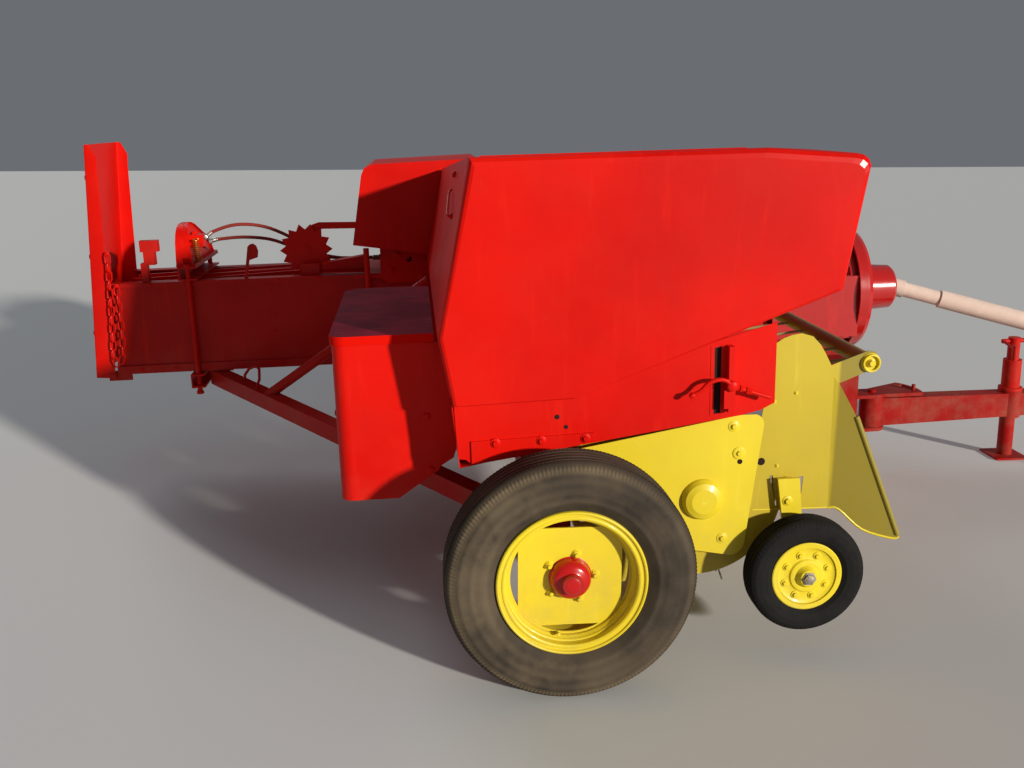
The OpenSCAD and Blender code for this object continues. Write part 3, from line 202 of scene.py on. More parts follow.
redLook = {"base": (0.66, 0.005, 0.001), "deep": (0.52, 0.003, 0.001), "pale": (0.74, 0.016, 0.006), "fade": 0.3,
           "under": (0.09, 0.020, 0.012), "peel": 260, "rough": 0.38, "coat": 0.03, "shine": 0.1, "chips": 0.6,
           "dust": 0.16, "dustLow": 0.25, "dustHigh": 0.7}
yellowLook = {"base": (0.76, 0.60, 0.020), "deep": (0.66, 0.50, 0.015), "pale": (0.78, 0.65, 0.06), "fade": 0.35,
              "under": (0.16, 0.085, 0.03), "peel": 240, "rough": 0.36, "coat": 0.15, "shine": 0.35, "chips": 0.8,
              "dust": 0.3, "dustLow": 0.15, "dustHigh": 0.55}
redPaint = paint("redPaint", redLook)
yellowPaint = paint("yellowPaint", yellowLook)
# darker olive copy of the yellow paint: painted shade for the yellow parts that lie in shade, with more dust
oliveShadePaint = paint("oliveShadePaint", {**yellowLook, "base": (0.36, 0.27, 0.07), "deep": (0.22, 0.15, 0.06),
                                  "pale": (0.42, 0.34, 0.16), "rough": 0.5, "coat": 0.05, "dust": 0.5})
# darker copy of the red paint; on the bale case and chamber front it is painted shade
deepRedAndShade = paint("deepRedAndShade", {**redLook, "base": (0.52, 0.008, 0.005), "deep": (0.40, 0.006, 0.004), "dust": 0.3})
darkRed = paint("darkRed", {**redLook, "base": (0.34, 0.005, 0.004), "deep": (0.24, 0.004, 0.003), "dust": 0.35})
glossRed = paint("glossRed", {**redLook, "base": (0.46, 0.006, 0.004), "deep": (0.38, 0.005, 0.004), "rough": 0.16,
                              "coat": 0.8, "shine": 0.5, "dust": 0.1, "chips": 0.3})
# darker copy of the yellow for the pickup sides, painted shade, and darker still on the flare in front of the bend,
# painted shade
sideShadePaint = paint("sideShadePaint", {**yellowLook, "base": (0.54, 0.41, 0.02), "deep": (0.46, 0.34, 0.018), "dust": 0.4,
                                "flare": (0.28, 0.215, 0.02), "bend": (0.262, 0.275)})
hubRed = paint("hubRed", {**redLook, "base": (0.50, 0.006, 0.006), "deep": (0.40, 0.004, 0.004), "rough": 0.2,
                          "coat": 0.35, "shine": 0.3, "dust": 0.04, "chips": 0.3})
rimYellow = paint("rimYellow", {**yellowLook, "hub": (0.30, 0.006, 0.006)})
print("paints made")


lidLook = {"dark": (0.13, 0.006, 0.018), "plum": (0.23, 0.012, 0.032), "patch": (4.2, 4), "patchShows": (0.35, 0.65),
           "streak": (0.30, 0.10, 0.15), "streaks": (9, 5, 0.7, (0.6, 5.0, 1.0)), "streaksShow": (0.56, 0.76),
           "streaksFull": 0.5, "speck": (0.36, 0.20, 0.22), "specks": (70, 4), "specksShow": (0.68, 0.76),
           "specksFull": 0.35, "upward": (0.3, 0.6), "rough": 0.62, "roughVaries": 0.2, "shine": 0.04,
           "grain": 180, "bump": (0.001, 0.2)}


def lidFinish():  # plum top with pale brush streaks, red edges; the plum is faded paint and a painted sky sheen, put only on faces that look upward
    f = Finish("lidFadeAndSheen")
    streak, patch = f.cloud(*lidLook["streaks"]), f.cloud(*lidLook["patch"])
    shade = f.blend(patch.ramp(*lidLook["patchShows"]), lidLook["dark"], lidLook["plum"])
    shade = f.blend(streak.ramp(*lidLook["streaksShow"]) * lidLook["streaksFull"], shade, lidLook["streak"])
    specks = f.cloud(*lidLook["specks"]).ramp(*lidLook["specksShow"]) * lidLook["specksFull"]
    shade = f.blend(specks, shade, lidLook["speck"])
    facing = f.put("ShaderNodeTexCoord", give="Normal")
    upward = f.put("ShaderNodeSeparateXYZ", sockets={0: facing}, give="Z").ramp(*lidLook["upward"])
    shade = f.blend(upward, redLook["base"], shade)
    return f.set(Base_Color=shade, Roughness=streak * lidLook["roughVaries"] + lidLook["rough"],
                 Specular_IOR_Level=lidLook["shine"],
                 Normal=f.bump(streak + f.cloud(lidLook["grain"]), *lidLook["bump"]))


rubberLook = {"grime": (16, 6, 0.7), "grimeShows": (0.1, 0.6), "rough": 0.93, "grimeSmooths": 0.22,
              "grain": (230, 4), "bump": (0.0012, 0.35)}
# Film of dust on a main wheel's sidewall. In metres: "inner", "band" and "edge" are distances from the axle, and
# "front" is how far ahead of it. Each share, least and loss is a part of the full film.
sidewall = {"inner": (0.192, 0.25), "innerLeast": 0.25, "band": (0.318, 0.332), "bandShare": 0.35,
            "edge": (0.337, 0.35), "edgeLoss": 0.6, "ripple": 210, "rippleShare": 0.06, "grimeShare": 0.3,
            "patches": (4.6, 4, 0.6), "patchesShow": (0.36, 0.62), "patchShare": 0.4,
            "front": (-0.12, 0.3), "frontLoss": 0.5}


def rubber(name, base, dust, amount, wall=None, sheen=0.3):  # amount: how dusty it is
    f = Finish(name)
    grime = f.cloud(*rubberLook["grime"])
    film = grime.ramp(*rubberLook["grimeShows"]) * amount
    if wall:
        x, _, z = wheelSpot(f)
        far = (x * x + z * z).alone("SQRT")
        rings = (far * wall["ripple"]).alone("SINE") * wall["rippleShare"]
        patches = f.cloud(*wall["patches"]).ramp(*wall["patchesShow"]) * wall["patchShare"]
        film = film * wall["grimeShare"] + patches + rings + far.ramp(*wall["band"]) * wall["bandShare"]
        film = film * (far.ramp(*wall["inner"]) * (1 - wall["innerLeast"]) + wall["innerLeast"])
        film = film * (1 - far.ramp(*wall["edge"]) * wall["edgeLoss"])
        film = film * (1 - x.ramp(*wall["front"]) * wall["frontLoss"])  # darker towards the front
    shade = f.blend(film, base, dust)
    return f.set(Base_Color=shade, Roughness=rubberLook["rough"] - grime * rubberLook["grimeSmooths"],
                 Specular_IOR_Level=sheen, Normal=f.bump(f.cloud(*rubberLook["grain"]), *rubberLook["bump"]))


steelLook = {"rust": (22, 6, 0.7), "rustShows": (0.62, 0.80), "spread": 0.4, "metal": 0.85, "metalLost": 0.8,
             "rough": 0.34, "rustRough": 0.4, "grain": (240, 4), "bump": (0.001, 0.25)}


def steelFinish(name, bright, rusty, share):  # share: how much of it is rusty
    f = Finish(name)
    rust = f.cloud(*steelLook["rust"]).ramp(*(edge - share * steelLook["spread"] for edge in steelLook["rustShows"]))
    shade = f.blend(rust, bright, rusty)
    return f.set(Base_Color=shade, Metallic=steelLook["metal"] - rust * steelLook["metalLost"],
                 Roughness=rust * steelLook["rustRough"] + steelLook["rough"],
                 Normal=f.bump(f.cloud(*steelLook["grain"]), *steelLook["bump"]))


lidFadeAndSheen = lidFinish()
tyreRubber = rubber("tyreRubber", (0.026, 0.021, 0.018), (0.155, 0.115, 0.070), 0.75, sidewall, 0.15)
smallTyre = rubber("smallTyre", (0.005, 0.005, 0.006), (0.020, 0.018, 0.016), 0.5, sheen=0.12)
# near-black red, painted shade: used for the sheet behind the lever's slot and for the discs in the punched holes
shadeBlack = rubber("shadeBlack", (0.010, 0.002, 0.002), (0.02, 0.004, 0.003), 0.5)
hoseRubber = rubber("hoseRubber", (0.30, 0.016, 0.010), (0.12, 0.03, 0.02), 0.5)
orangeSteel = steelFinish("orangeSteel", (0.62, 0.20, 0.04), (0.40, 0.10, 0.02), 0.3)
wornSteel = steelFinish("wornSteel", (0.42, 0.40, 0.37), (0.16, 0.07, 0.035), 0.3)
boltSteel = steelFinish("boltSteel", (0.50, 0.47, 0.42), (0.20, 0.10, 0.05), 0.2)
guardPlastic = rubber("guardPlastic", (0.80, 0.62, 0.53), (0.42, 0.30, 0.24), 0.35)
print("other finishes made")

finishes = {"red_paint": redPaint, "yellow_paint": yellowPaint, "olive_paint": oliveShadePaint, "tyre_rubber": tyreRubber,
            "hose_rubber": hoseRubber, "worn_steel": wornSteel, "guard_plastic": guardPlastic}
# the bale case and chamber front take the darker copy of the red paint as painted shade
nodeFinish = {"twine_lid": lidFadeAndSheen, "right_rim": rimYellow, "left_rim": rimYellow, "flywheel_shield": glossRed,
              "pickup_sides": sideShadePaint, "tongue": darkRed, "jack_tube": deepRedAndShade, "jack_leg": darkRed,
              "brace_beam": deepRedAndShade, "main_frame": darkRed, "axle": deepRedAndShade, "bale_case": deepRedAndShade,
              "chamber_front": deepRedAndShade}
slotOf = {row["node"]: row["material_slot"] for row in frame["record"]["subparts"]}
for name, obj in parts.items():
    chosen = nodeFinish.get(name, finishes[slotOf[name]])
    obj.data.materials.clear()
    obj.data.materials.append(chosen)
print("nodes painted")


# A bolt, as shares of its size over the flats. "washerHigh" is the top of its straight rim and of the washer, in
# millimetres, and "sunk" is how far each piece goes into what it stands on.
fastener = {"washer": 0.98, "washerEdge": 0.9, "washerHigh": (1.6, 2.4), "sunk": 1, "headTall": 0.42,
            "headStraight": 0.8, "headTop": 0.86, "thread": 0.3, "threadTop": 0.24}


# Shaping tools: many small forms are gathered into one mesh, in millimetres from the axle
def crossways(axis):
    axis = Vector(axis).normalized()
    side = axis.cross((0.1, 1, 0.2) if abs(axis.y) < 0.9 else (1, 0.1, 0.2)).normalized()
    return axis, side, axis.cross(side)


class Heap:
    def __init__(self, place=tilt):
        self.mesh, self.place = bmesh.new(), place

    def add(self, points, faces):
        dots = [self.mesh.verts.new(self.place @ (Vector(p) / 1000)) for p in points]
        return [self.mesh.faces.new([dots[i] for i in f]) for f in faces]

    def skin(self, rings, ends=True, loop=False):  # one ring of points after another
        n, m = len(rings[0]), len(rings)
        faces = [(i * n + k, i * n + (k + 1) % n, (i + 1) % m * n + (k + 1) % n, (i + 1) % m * n + k)
                 for i in range(m if loop else m - 1) for k in range(n)]
        if ends and not loop:
            faces += [tuple(range(n))[::-1], tuple(range((m - 1) * n, m * n))]
        return self.add([p for ring in rings for p in ring], faces)

    def lathe(self, place, axis, profile, n=24, ends=True, loop=False, turn=0):  # profile: distance out, height
        axis, side, over = crossways(axis)
        place = Vector(place)
        angles = [turn + 2 * math.pi * k / n for k in range(n)]
        return self.skin([[place + axis * h + (side * math.cos(a) + over * math.sin(a)) * max(r, 0.05)
                           for a in angles] for r, h in profile], ends, loop)

    def tube(self, path, radius, n=10, ends=True, loop=False):
        path = [Vector(p) for p in path]
        m = len(path)
        rings, side = [], None
        for i, p in enumerate(path):
            ahead = path[(i + 1) % m] if loop else path[min(i + 1, m - 1)]
            behind = path[i - 1] if loop else path[max(i - 1, 0)]
            run = (ahead - behind).normalized()
            side = crossways(run)[1] if side is None else (side - run * side.dot(run)).normalized()
            over = run.cross(side)
            r = radius[i] if isinstance(radius, (list, tuple)) else radius
            rings.append([p + (side * math.cos(a) + over * math.sin(a)) * r
                          for a in [2 * math.pi * k / n for k in range(n)]])
        return self.skin(rings, ends, loop)

    def soften(self, faces, width, steps=2, limit=0.6):  # rounds the sharp edges of these faces
        edges = {e for f in faces for e in f.edges if len(e.link_faces) == 2 and e.calc_face_angle(0) > limit}
        bmesh.ops.bevel(self.mesh, geom=list(edges), offset=width / 1000, segments=steps, affect="EDGES",
                        profile=0.5, clamp_overlap=True)

    def brick(self, low, high, rounding=1.0):
        (a, b, c), (d, e, f) = low, high
        faces = self.skin([[(a, b, h), (d, b, h), (d, e, h), (a, e, h)] for h in (c, f)])
        self.soften(faces, rounding)

    def plate(self, outline, y0, y1, rounding=None):  # outline in x and z
        faces = self.skin([[(x, y, z) for x, z in outline] for y in (y0, y1)])
        if rounding:
            self.soften(faces, rounding)

    def bolt(self, place, axis, across=19, washer=True, thread=0.0):
        out = Vector(axis).normalized()
        place = Vector(place)
        base, sunk = 0, fastener["sunk"]
        if washer:
            wide, (rim, base) = across * fastener["washer"], fastener["washerHigh"]
            self.lathe(place, out, [(wide, -sunk), (wide, rim), (across * fastener["washerEdge"], base)], 20)
        tall, r = across * fastener["headTall"], across / math.sqrt(3)
        self.lathe(place, out, [(r, base - sunk), (r, base + tall * fastener["headStraight"]),
                                (r * fastener["headTop"], base + tall)], 6,
                   turn=0.3 + (place.x + place.z) * 0.7 % 1)  # each head is turned another way
        if thread:
            wide, tip = across * fastener["thread"], base + tall + thread
            self.lathe(place, out, [(wide, 0), (wide, tip - 1), (across * fastener["threadTop"], tip)], 12)

    def weld(self, start, end, radius=3.0):  # a rippled bead along a line
        start, end = Vector(start), Vector(end)
        steps = max(3, int((end - start).length / 4))
        path = [start.lerp(end, i / steps) for i in range(steps + 1)]
        self.tube(path, [radius * (1.0 if i % 2 else 0.82) for i in range(steps + 1)], 7)

    def piece(self, name, finish, body, sharp=38):
        bmesh.ops.recalc_face_normals(self.mesh, faces=self.mesh.faces)
        for face in self.mesh.faces:
            face.smooth = True
        for edge in self.mesh.edges:
            edge.smooth = len(edge.link_faces) == 2 and edge.calc_face_angle(0) < math.radians(sharp)
        data = bpy.data.meshes.new(name)
        self.mesh.to_mesh(data)
        self.mesh.free()
        for each in finish if isinstance(finish, list) else [finish]:
            data.materials.append(each)
        obj = bpy.data.objects.new(name, data)
        bpy.context.scene.collection.objects.link(obj)
        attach(obj, body)
        return obj


def bow(points, steps=8):  # smooth line through points
    points = [Vector(p) for p in points]
    line = []
    for i in range(len(points) - 1):
        a, b, c, d = points[max(i - 1, 0)], points[i], points[i + 1], points[min(i + 2, len(points) - 1)]
        for k in range(steps):
            t = k / steps
            line.append(0.5 * (2 * b + (c - a) * t + (2 * a - 5 * b + 4 * c - d) * t * t +
                               (3 * b - a - 3 * c + d) * t ** 3))
    return line + [points[-1]]


# Oil hoses from the tension head to the knotter frame. Profiles are (distance out, height) along the hose.
hoses = {"upper": [(-1323, 770, 762), (-1280, 770, 790), (-1180, 775, 815), (-1060, 790, 800), (-940, 815, 740),
                   (-840, 832, 670), (-750, 842, 642), (-650, 848, 634), (-546, 850, 632)],
         "lower": [(-1312, 800, 742), (-1270, 800, 750), (-1160, 805, 755), (-1040, 820, 738), (-930, 845, 690),
                   (-830, 862, 650), (-740, 872, 636), (-650, 878, 632), (-546, 880, 632)],
         "thick": 15, "sleeve": [(10, 0.3), (10, 16), (9.2, 17), (9.2, 41), (8.4, 42)], "crimps": 4, "crimpStep": 5.5,
         "crimp": [(9.2, 19), (9.9, 20.2), (9.9, 22), (9.2, 23)], "nut": [(12.4, 1), (12.4, 11), (11.2, 13)]}
for key in ("upper", "lower"):
    route = bow(hoses[key], 5)
    path = [at(*p) for p in route]
    hose = Heap()
    hose.tube(route, hoses["thick"] / 2, 16)
    hosePiece = hose.piece(key + "_hose", hoseRubber, "frame")
    ends = Heap()
    for tip, way in ((route[0], route[1] - route[0]), (route[-1], route[-2] - route[-1])):
        way = way.normalized()
        ends.lathe(tip, way, hoses["sleeve"], 20)
        for k in range(hoses["crimps"]):
            ends.lathe(tip + way * (k * hoses["crimpStep"]), way, hoses["crimp"], 20)
        ends.lathe(tip, way, hoses["nut"], 6)
    endPiece = ends.piece(key + "_hose_fittings", boltSteel, "frame")
    if key == "upper":
        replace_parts(hosePiece, "tension_hoses")
print("hoses laid")

# Tyres: ribbed tread, toothed shoulder and ringed sidewall
mainTyre = {"radius": 355, "width": 180, "bead": 191.5, "beadWidth": 62, "notches": 190, "toothDeep": 2.6,
            "grooves": (0, 24, 47), "grooveWide": 6.5, "grooveDeep": 8, "rings": (226, 262, 268, 302)}
gaugeTyre = {"radius": 178, "width": 92, "bead": 96, "beadWidth": 30.5, "notches": 84, "toothDeep": 1.6,
             "grooves": (0, 15), "grooveWide": 5, "grooveDeep": 4.5, "rings": (112, 136)}
# Shares that both sizes have in common: the side as (share of radius, share of width), and the toothed shoulder
tyreShares = {"side": [(0.80, 0.5), (0.893, 0.485), (0.961, 0.42), (0.989, 0.34), (1, 0.25)],
              "bulge": (0.24, 0.56, 0.46), "step": 0.011,
              "shoulder": (0.928, 0.972), "shoulderOut": 0.36, "ringsOut": 0.3}
# The lips of the grooves and the raised rings are in millimetres. A tooth goes in by "toothIn" of its depth and
# across by "toothAcross", and the small cuts beside the outer groove go in by "cut".
tyreDetail = {"lip": 0.6, "lipTop": 0.1, "ringHigh": 1.3, "ringSlope": 0.45, "ringStands": 0.45, "skin": 0.6,
              "toothIn": 0.6, "toothAcross": 0.5, "cut": 0.8, "cutBand": 1.2}


def wheelPlace(side):
    return Matrix.Translation((-stance["middle"], side * stance["track"], stance["axleHeight"])) @ \
        Matrix.Rotation(math.radians(-90 * side), 4, "X")


def tyreOutline(look):  # from the bead to the middle of the tread
    r, w, bead, beadWidth = (look[k] for k in ("radius", "width", "bead", "beadWidth"))
    low, high, wide = tyreShares["bulge"]
    tall = tyreShares["side"][0][0] * r - bead
    side = [(bead, beadWidth), (bead + low * tall, beadWidth), (bead + high * tall, w * wide)]
    side += [(r * out, w * across) for out, across in tyreShares["side"]]
    fine = []
    for (r0, w0), (r1, w1) in zip(side, side[1:]):
        steps = max(2, int(math.hypot(r1 - r0, w1 - w0) / (r * tyreShares["step"])))
        fine += [(r0 + (r1 - r0) * k / steps, w0 + (w1 - w0) * k / steps) for k in range(steps)]
    half, deep = look["grooveWide"] / 2, r - look["grooveDeep"]
    lip, top = tyreDetail["lip"], tyreDetail["lipTop"]
    for cut in sorted(look["grooves"], reverse=True):
        fine += [(r - top, cut + half * 2), (r - lip, cut + half + 1), (deep, cut + half - lip)]
        if cut:
            fine += [(deep, cut - half + lip), (r - lip, cut - half - 1), (r - top, cut - half * 2)]
    return fine


def tyre(name, look, place, body, finish=tyreRubber):
    heap = Heap(place)
    half = tyreOutline(look)
    full, wide, deep, n = look["radius"], look["width"], look["toothDeep"], look["notches"] * 4
    inner, outer = (share * full for share in tyreShares["shoulder"])
    rings = []
    for r, w in half + [(r, -w) for r, w in reversed(half)]:
        raised = max([0] + [tyreDetail["ringHigh"] - abs(r - ring) * tyreDetail["ringSlope"] for ring in look["rings"]])
        if abs(w) <= wide * tyreShares["ringsOut"]:
            raised = 0
        shoulder = inner < r < outer and abs(w) > wide * tyreShares["shoulderOut"]
        beside = r > full - 0.3 and abs(abs(w) - look["grooves"][-1]) < look["grooveWide"] * tyreDetail["cutBand"]
        ring = []
        for k in range(n):
            tooth = deep if shoulder and k % 4 > 1 else 0
            sunk = deep * tyreDetail["cut"] if beside and k % 4 == 0 else 0
            a = 2 * math.pi * k / n
            out = r - tooth * tyreDetail["toothIn"] - sunk
            inward = tooth * tyreDetail["toothAcross"] + tyreDetail["skin"] - raised * tyreDetail["ringStands"]
            across = w - math.copysign(inward, w)
            ring.append((out * math.cos(a), out * math.sin(a), across))
        rings.append(ring)
    heap.skin(rings, ends=False, loop=True)
    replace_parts(heap.piece(name + "_rubber", finish, body, 50), name)


gaugeAxle = (0.733, -1.2, -0.106)  # metres from the main axle, before the body leans
gaugePlace = tilt @ Matrix.Translation(gaugeAxle) @ Matrix.Rotation(math.radians(90), 4, "X")
tyre("right_tyre", mainTyre, wheelPlace(-1), "right_wheel")
tyre("left_tyre", mainTyre, wheelPlace(1), "left_wheel")
tyre("gauge_tyre", gaugeTyre, gaugePlace, "gauge_wheel", smallTyre)
print("tyres shaped")

# Wheel furniture: hub cap, nuts on their studs, valve, beads of the rim. Profiles are (distance out, height).
hub = {"studs": 5, "circle": 70, "turn": 4, "disc": 20, "valveAt": 258, "nut": 19, "thread": 9,
       "seat": [(15, -0.5), (14, 1.2), (11, 3.6)],
       "collar": [(60.5, 19), (61, 22), (58.4, 23.5), (58.2, 33), (57.6, 36)],
       "dome": (29.5, 36, 28, 27), "cap": [(29, 65), (29, 76), (27.5, 81), (23, 84.2), (12, 85.4), (0, 85.6)],
       "stem": [(180, 8), (172, 22), (166, 44)], "stemThick": 4, "stemLean": (-6, 22),
       "stemCap": [(5, -2), (5, 8), (4.4, 10)],
       "beads": [[(213, 62), (213.4, 67), (212, 71.5), (208.5, 73.6), (205, 72.2), (203.6, 68.4), (202, 64), (211, 61)],
                 [(197, 64), (196.6, 68), (194, 69.4), (189, 68.6), (186.4, 66), (186, 60), (188, 58)],
                 [(186, 46), (183, 45.5), (180.5, 43), (180, 38), (184, 36), (187.5, 42)]]}
middle, outward = (0, 0, 0), (0, 0, 1)
for side, body in ((-1, "right_wheel"), (1, "left_wheel")):
    cap = Heap(wheelPlace(side))
    out, up, wide, tall = hub["dome"]
    dome = [(out + wide * math.cos(math.radians(a)), up + tall * math.sin(math.radians(a))) for a in range(10, 81, 10)]
    cap.lathe(middle, outward, hub["collar"] + dome + hub["cap"], 56)
    cap.piece(body + "_hub_cap", hubRed, body, 30)
    nuts = Heap(wheelPlace(side))
    for k in range(hub["studs"]):
        a = math.radians(hub["turn"] + 360 / hub["studs"] * k)
        stud = (hub["circle"] * math.cos(a), hub["circle"] * math.sin(a), hub["disc"])
        nuts.bolt(stud, outward, hub["nut"], False, hub["thread"])
        nuts.lathe(stud, outward, hub["seat"], 20)
    a = math.radians(hub["valveAt"])
    ray = Vector((math.cos(a), math.sin(a), 0))
    stem = [ray * far + Vector((0, 0, h)) for far, h in hub["stem"]]
    nuts.tube(stem, hub["stemThick"], 10)
    nuts.lathe(stem[-1], ray * hub["stemLean"][0] + Vector((0, 0, hub["stemLean"][1])), hub["stemCap"], 10)
    nuts.piece(body + "_nuts", yellowPaint, body)
    beads = Heap(wheelPlace(side))
    for bead in hub["beads"]:
        beads.lathe(middle, outward, bead, 96, loop=True)
    beads.piece(body + "_rim_beads", yellowPaint, body, 40)
print("wheels fitted")

# Chute: bent sheet whose flanges narrow towards the free end. Its own x is across the sheet, its z along it.
chute = {"x": -1765, "z": 170, "lean": 4, "deep": 75, "long": 1012, "sheet": 3, "wide": 85, "narrow": 52, "near": 661,
         "far": 1169, "heights": (-8, 60, 140, 300, 500, 700, 900, 960, 1012), "taper": (60, 840), "cut": 30,
         "web": 30, "ribs": (180, 520, 860), "ribInset": 22,
         "eye": [(17, 0), (17, 5.4), (15.5, 6.4), (10.2, 6.4), (10.2, 0)], "eyeSunk": 3.4,
         "rib": [(1, -4), (-3, 1), (-6.6, 6), (-7, 13), (-6.6, 20), (-3, 25), (1, 30)],  # out of the sheet, along it
         "pad": (-6, 546), "padShape": [(11, 0), (11, 2.2), (9.5, 3)]}
chutePlace = tilt @ Matrix.Translation((chute["x"] / 1000, 0, chute["z"] / 1000)) @ \
    Matrix.Rotation(math.radians(chute["lean"]), 4, "Y")
chuteHeap = Heap(chutePlace)
flanges = ((-1, chute["near"]), (1, chute["far"]))  # which way is out, and the outer face
back, web = -chute["deep"], chute["web"]
for sign, edge in flanges:
    rings = []
    for z in chute["heights"]:
        gone = min(1, max(0, (z - chute["taper"][0]) / chute["taper"][1]))
        lip = back + chute["wide"] - (chute["wide"] - chute["narrow"]) * gone
        if z == chute["long"]:
            lip -= chute["cut"]
        bend = [(back, web), (back, 9), (back + 2.6, 2.6), (back + 9, 0), (lip - 1, 0), (lip, 1.2),
                (lip, 2), (lip - 1, 3), (back + 9, 3), (back + 4.6, 4.6), (back + 3, 9), (back + 3, web)]
        rings.append([(x, edge - sign * inset, z) for x, inset in bend])
    chuteHeap.skin(rings)
chuteHeap.brick((back, chute["near"] + web, chute["heights"][0]),
                (back + chute["sheet"], chute["far"] - web, chute["long"]), 0.8)
for z in chute["ribs"]:
    chuteHeap.skin([[(back + x, y, z + h) for x, h in chute["rib"]]
                    for y in (chute["near"] + chute["ribInset"], chute["far"] - chute["ribInset"])])
for sign, edge in flanges:
    chuteHeap.lathe((0, edge - sign * chute["eyeSunk"], 0), (0, sign, 0), chute["eye"], 28)
chuteHeap.lathe((chute["pad"][0], chute["near"] - 0.5, chute["pad"][1]), (0, -1, 0), chute["padShape"], 18)
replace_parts(chuteHeap.piece("bale_chute_sheet", redPaint, "chute", 30), "bale_chute")

# Chain: welded round links in a long hanging loop, half on the chute and half on the case
chain = {"wire": 3.3, "long": 52, "wide": 30, "pitch": 38.6, "y": 645.5,
         "chute": [(-1722, 722), (-1724, 640), (-1732, 500), (-1739, 380), (-1747, 270), (-1738, 228)],
         "case": [(-1699, 580), (-1698, 470), (-1701, 350), (-1708, 270), (-1724, 228)],
         "chutePin": (661, [(7, 0), (7, 15), (9.5, 15.5), (9.5, 19), (8, 20)]),
         "casePin": (670, [(6, 0), (6, 25), (8.5, 25.5), (8.5, 29), (7, 30)])}


def hangChain(key, body):
    heap = Heap()
    line = bow([(x, chain["y"], z) for x, z in chain[key]], 24)
    gone, spots, goal = 0.0, [], chain["long"] / 2 - 4
    for a, b in zip(line, line[1:]):
        run = (b - a).length
        while gone + run >= goal:
            spots.append((a.lerp(b, (goal - gone) / run), (b - a).normalized()))
            goal += chain["pitch"]
        gone += run
    r = (chain["wide"] - 2 * chain["wire"]) / 2
    straight = (chain["long"] - 2 * chain["wire"]) / 2 - r
    for i, (spot, run) in enumerate(spots):
        flat = Vector((0, 1, 0)) if i % 2 else run.cross((0, 1, 0)).normalized()
        flat = (flat - run * flat.dot(run)).normalized()
        turns = [math.pi * (k + 0.5) / 8 for k in range(16)]
        heap.tube([spot + flat * (r * math.cos(a)) + run * (r * math.sin(a) + math.copysign(straight, math.sin(a)))
                   for a in turns], chain["wire"], 8, loop=True)
    (x, z), (y, pin) = chain[key][0], chain[key + "Pin"]
    heap.lathe((x, y, z), (0, -1, 0), pin, 16)
    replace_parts(heap.piece(key + "_chain_links", redPaint, body), key + "_chain")


hangChain("chute", "chute")
hangChain("case", "frame")
print("tail dressed")

# Tension head: crosshead casting on its channel, with a raised rim, a port block and its bolts
head = {"rear": -1436,
        "channel": [((-1430, 590), (-1350, 597)), ((-1430, 643), (-1350, 650)), ((-1430, 596), (-1423, 644))],
        "channelY": (640, 1190),
        # height, near end, far end and front face
        "levels": [(650.3, 656, 1186, -1374), (700, 664, 1156, -1380), (752, 676, 1064, -1386), (790, 700, 965, -1392),
                   (815, 736, 905, -1398), (827, 786, 866, -1406)],
        "rim": (3, 15, -2, 9), "foot": ((-1436, 652, 650.3), (-1352, 1188, 659)),
        "block": ((-1392, 742, 724), (-1327, 818, 778)), "port": (-1372, 784, 775),
        "portShape": [(11, 0), (11, 14), (8, 17)], "boltsX": -1382,
        "bolts": ((704, 742), (716, 690), (930, 742), (1010, 700)), "boltSize": 17, "rounding": 5}
castHeap = Heap()
for (a, b), (c, d) in head["channel"]:
    castHeap.brick((a, head["channelY"][0], b), (c, head["channelY"][1], d), 1.5)
castFaces = castHeap.skin([[(head["rear"], near, z), (front, near, z), (front, far, z), (head["rear"], far, z)]
                           for z, near, far, front in head["levels"]])
castHeap.soften(castFaces, head["rounding"], 3, 0.5)
inset0, inset1, behind, before = head["rim"]
rimRing = ((behind, inset0), (before, inset0), (before, inset1), (behind, inset1))
for low, high in zip(head["levels"], head["levels"][1:]):
    for end, way in ((1, 1), (2, -1)):
        castHeap.skin([[(level[3] + out, level[end] + way * inset, level[0]) for out, inset in rimRing]
                       for level in (low, high)])
castHeap.brick(*head["foot"], 2)
castHeap.brick(*head["block"], head["rounding"])
castHeap.lathe(head["port"], outward, head["portShape"], 6)
for y, z in head["bolts"]:
    castHeap.bolt((head["boltsX"], y, z), (1, 0, 0), head["boltSize"])
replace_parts(castHeap.piece("tension_head_casting", redPaint, "frame", 34), "tension_head")

# Threads and nuts of the two tension rods, and the release spring
rods = {"x": -1390, "y": (656, 1174), "threadFrom": 668, "turns": 9, "lead": 2.2,
        "thread": [(10.6, 0), (11.8, 0.8), (10.6, 1.6)], "nutAt": 84, "nut": [(17, -2), (17, 10), (14, 12)]}
rodTrim = Heap()
for y in rods["y"]:
    for k in range(rods["turns"]):
        rodTrim.lathe((rods["x"], y, rods["threadFrom"] + k * rods["lead"]), outward, rods["thread"], 14)
    rodTrim.lathe((rods["x"], y, rods["nutAt"]), (0, 0, -1), rods["nut"], 6)
rodTrim.piece("tension_rod_threads", redPaint, "frame")
spring = {"place": (-1356, 716, 764), "radius": 13, "turns": 11, "across": 0.4, "down": 1.45, "wire": 3.2}
x, y, z = spring["place"]
coilHeap = Heap()
coilHeap.tube([(x + spring["radius"] * math.cos(a), y + spring["radius"] * math.sin(a) + a * spring["across"],
                z - a * spring["down"]) for a in [2 * math.pi * k / 12 for k in range(12 * spring["turns"] + 1)]],
              spring["wire"], 8)
coilHeap.piece("release_spring", orangeSteel, "frame")
print("tension head cast")

